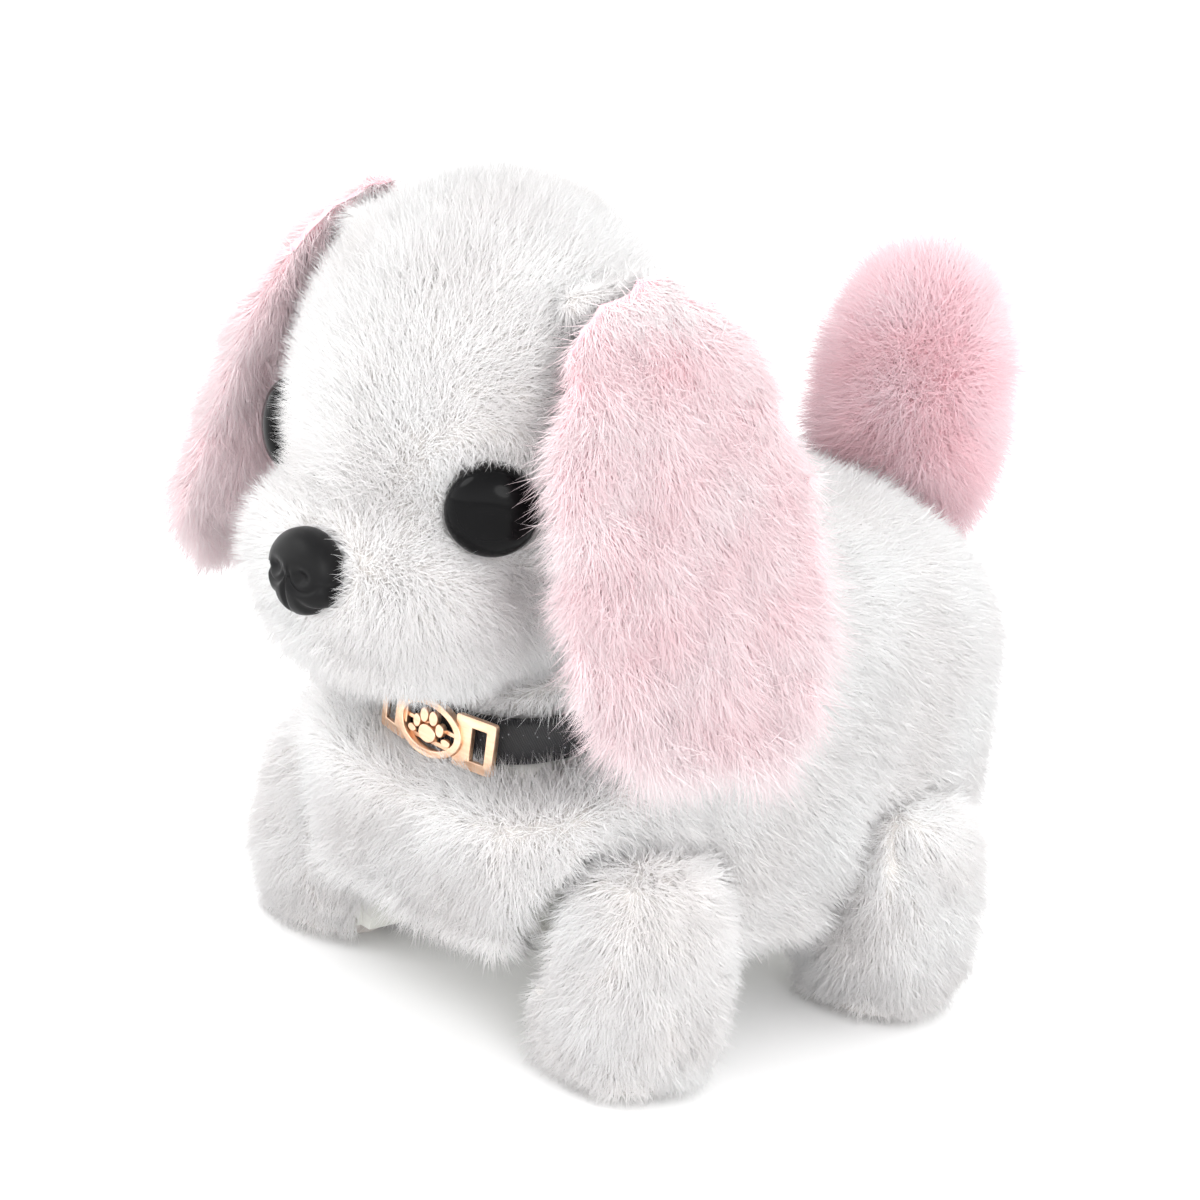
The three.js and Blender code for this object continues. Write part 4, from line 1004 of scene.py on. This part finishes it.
# ------------------------------------------------------------------ collar
STRAP_LOW, STRAP_HIGH = box("collar_strap")
STRAP_MIDDLE, STRAP_HALF = (STRAP_LOW + STRAP_HIGH) / 2, (STRAP_HIGH - STRAP_LOW) / 2
strap_points = vertex_array(NODES["collar_strap"].data)
side_band = strap_points[strap_points[:, 0] > STRAP_HIGH[0] - 0.2]
STRAP_HALF_WIDTH = (side_band[:, 2].max() - side_band[:, 2].min()) / 2
STRAP_SLOPE = (STRAP_HALF[2] - STRAP_HALF_WIDTH) / STRAP_HALF[1]


def swept_band(name, outline, steps):
    """A band round the neck from an outline of (outward, up) pairs."""
    angles = np.linspace(0, 2 * math.pi, steps, endpoint=False)
    outward, up = np.array(outline).T
    rows = []
    for angle in angles:
        shape = np.stack([
            (STRAP_HALF[0] + outward) * math.cos(angle),
            (STRAP_HALF[1] + outward) * math.sin(angle),
            up,
        ], axis=1)
        shape[:, 2] += shape[:, 1] * STRAP_SLOPE
        rows.append(shape + STRAP_MIDDLE)
    points = np.vstack(rows)
    width = len(outline)
    faces = []
    for i in range(steps):
        k = (i + 1) % steps
        for j in range(width):
            m = (j + 1) % width
            faces.append([i * width + j, k * width + j, k * width + m, i * width + m])
    return mesh_from(name, points, faces)


def collar():
    """A strap with rounded edges and a shallow stitched groove along each of them."""
    w = STRAP_HALF_WIDTH
    upper = [(-1.5, w - 0.3), (-1.3, w), (-0.3, w), (0.0, w - 0.25), (-0.12, w - 0.9), (-0.02, w - 1.3)]
    lower = [(outward, -up) for outward, up in reversed(upper)]
    outline = [*upper, (0.05, 0), *lower]
    mesh = swept_band("collar_band", outline[::-1], 160)
    mesh.materials.append(FINISH["black_webbing"])
    settle(new_object("collar_band", mesh), "trunk", "black_webbing", "collar_strap")


collar()


def flat_curve(name, splines, thickness, bevel):
    """A flat pattern with holes, thickened and rounded at its edges; points are (x, z)."""
    curve = bpy.data.curves.new(name, "CURVE")
    curve.dimensions = "2D"
    curve.fill_mode = "BOTH"
    curve.extrude = thickness / 2 * MM
    curve.bevel_depth = bevel * MM
    curve.bevel_resolution = 2
    curve.resolution_u = 1
    for points in splines:
        spline = curve.splines.new("POLY")
        spline.points.add(len(points) - 1)
        for point, (x, z) in zip(spline.points, points):
            point.co = (x * MM, z * MM, 0, 1)
        spline.use_cyclic_u = True
    thing = new_object(name, curve)
    graph = bpy.context.evaluated_depsgraph_get()
    mesh = bpy.data.meshes.new_from_object(thing.evaluated_get(graph), depsgraph=graph)
    bpy.data.objects.remove(thing)
    return mesh


SLIDE_DEPTH = 0.75  # from the front of the slide's box to the middle of its plates


def oval(x, z, half_x, half_z, count=40):
    angles = np.linspace(0, 2 * math.pi, count, endpoint=False)
    return [(x + half_x * math.cos(a), z + half_z * math.sin(a)) for a in angles]


def rounded(x0, x1, z0, z1, r=0.5, count=5):
    """A rectangle with round corners, counterclockwise from its upper right."""
    points = []
    left, right, lower, upper = x0 + r, x1 - r, z0 + r, z1 - r
    for cx, cz, start in ((right, upper, 0), (left, upper, 90), (left, lower, 180), (right, lower, 270)):
        for step in range(count):
            a = math.radians(start + 90 * step / (count - 1))
            points.append((cx + r * math.cos(a), cz + r * math.sin(a)))
    return points


def slide_layers(reach, tall):
    """The slide's flat patterns, each with its thickness, its bevel and how far back it is set."""
    layers = []
    for side in (1, -1):
        loop = rounded(6.2, reach, -tall * 0.86, tall * 0.86)
        window = rounded(9.4, reach - 1.3, -tall * 0.58, tall * 0.58, 0.3)
        shapes = [[(x * side, z) for x, z in shape] for shape in (loop, window)]
        layers.append((shapes, 0.7, 0.16, 0.0))
    ring = [oval(0, 0, 7.8, 4.9), oval(0, 0, 6.8, 4.0)]
    layers.append((ring, 1.0, 0.22, -0.35))
    layers.append(([oval(0, -1.2, 1.9, 1.35)], 0.8, 0.22, -0.3))
    for x, z, r in ((-2.9, 0.2, 0.85), (-1.15, 1.75, 0.95), (1.15, 1.75, 0.95), (2.9, 0.2, 0.85)):
        layers.append(([oval(x, z, r * 0.85, r * 1.15, 24)], 0.7, 0.2, -0.3))
    for side in (1, -1):
        layers.append(([oval(side * 4.3, -1.6, 0.9, 0.5, 20)], 0.5, 0.15, -0.2))
    lower_bar = [(-5.8, -2.95), (5.8, -2.95), (5.6, -2.35), (-5.6, -2.35)]
    middle_bar = [(-5.9, -0.2), (5.9, -0.2), (5.9, 0.35), (-5.9, 0.35)]
    return [*layers, ([lower_bar], 0.3, 0.1, 0.1), ([middle_bar], 0.25, 0.08, 0.15)]


def emblem():
    """A slide of two strap loops and an oval medallion with an openwork paw, bent round the strap."""
    low, high = box("collar_plate")
    centre, half = (low + high) / 2, (high - low) / 2
    bend_radius = STRAP_HALF[0] ** 2 / STRAP_HALF[1]
    work = bmesh.new()
    for i, (shapes, thickness, bevel, back) in enumerate(slide_layers(half[0], half[2])):
        mesh = flat_curve(f"slide_{i}", shapes, thickness, bevel)
        across, up, out = vertex_array(mesh).T
        y = low[1] + SLIDE_DEPTH + across ** 2 / (2 * bend_radius) - out + back
        put_vertices(mesh, np.stack([across + centre[0], y, up + centre[2]], axis=1))
        work.from_mesh(mesh)
    bmesh.ops.remove_doubles(work, verts=work.verts, dist=0.000005)
    bmesh.ops.recalc_face_normals(work, faces=work.faces)
    whole = bpy.data.meshes.new("collar_slide")
    work.to_mesh(whole)
    work.free()
    whole.materials.append(FINISH["rose_gold"])
    settle(new_object("collar_slide", whole), "trunk", "rose_gold", "collar_plate")


emblem()


# ------------------------------------------------------------------ studio
FLOOR_HALF = 4000
LAMPS = [  # where a lamp stands, its width and its power in watts
    ((-420, -620, 620), 420, 1.6),
    ((620, -360, 420), 380, 1.6),
    ((60, 300, 760), 400, 0.5),
]
AIM = (0, 0, 70)
CAMERA_AZIMUTH, CAMERA_ELEVATION, CAMERA_ROLL = 44.8, 17.7, 7.4
CAMERA_TARGET = np.array([-6.5, -2.8, 66.7])
CAMERA_DISTANCE = 660
FOCAL_LENGTH = 113.4


def backdrop():
    """A white surround, brighter low down than overhead."""
    world = bpy.data.worlds.new("studio")
    bpy.context.scene.world = world
    world.use_nodes = True
    tree = world.node_tree
    back = tree.nodes["Background"]
    place, parts = tree.nodes.new("ShaderNodeTexCoord"), tree.nodes.new("ShaderNodeSeparateXYZ")
    fall = tree.nodes.new("ShaderNodeMapRange")
    fall.inputs["To Min"].default_value = 2.7
    fall.inputs["To Max"].default_value = 1.0
    tree.links.new(place.outputs["Generated"], parts.inputs["Vector"])
    tree.links.new(parts.outputs["Z"], fall.inputs["Value"])
    tree.links.new(fall.outputs["Result"], back.inputs["Strength"])
    back.inputs["Color"].default_value = (1.0, 1.0, 1.0, 1)


def studio():
    """A pale paper floor and three soft lamps."""
    corners = [(x * FLOOR_HALF, y * FLOOR_HALF, 0) for x, y in ((-1, -1), (1, -1), (1, 1), (-1, 1))]
    floor = new_object("studio_floor", mesh_from("studio_floor", corners, [[0, 1, 2, 3]]))
    shade = Shader("floor_paper")
    tones = [(0.4, (0.90, 0.90, 0.90)), (0.6, (0.93, 0.93, 0.93))]
    shade.colour(shade.ramp(shade.noise(6.0, 2.0), tones))
    shade.set(Roughness=0.9)
    floor.data.materials.append(shade.material)
    for place, size, power in LAMPS:
        lamp = bpy.data.lights.new("softbox", "AREA")
        lamp.shape = "DISK"
        lamp.size = size * MM
        lamp.energy = power
        thing = new_object("softbox", lamp)
        thing.location = Vector(place) * MM
        aim = Vector(AIM) * MM - thing.location
        thing.rotation_euler = aim.to_track_quat("-Z", "Y").to_euler()


def camera():
    """A camera turned round its target, and rolled."""
    azimuth, elevation, roll = np.radians([CAMERA_AZIMUTH, CAMERA_ELEVATION, CAMERA_ROLL])
    level = np.array([math.sin(azimuth), -math.cos(azimuth), 0.0])
    back = level * math.cos(elevation) + [0, 0, math.sin(elevation)]
    right = np.array([math.cos(azimuth), math.sin(azimuth), 0.0])
    up = np.cross(back, right)
    turned_right = math.cos(roll) * right + math.sin(roll) * up
    turned_up = -math.sin(roll) * right + math.cos(roll) * up
    lens = bpy.data.cameras.new("camera")
    lens.lens = FOCAL_LENGTH
    lens.sensor_width = 36
    lens.clip_start = 0.01
    thing = new_object("camera", lens)
    place = (CAMERA_TARGET + back * CAMERA_DISTANCE) * MM
    columns = np.column_stack([turned_right, turned_up, back])
    thing.matrix_world = Matrix.Translation(Vector(place)) @ Matrix(columns.tolist()).to_4x4()
    bpy.context.scene.camera = thing


bpy.context.scene.view_settings.view_transform = "Standard"
backdrop()
studio()
camera()
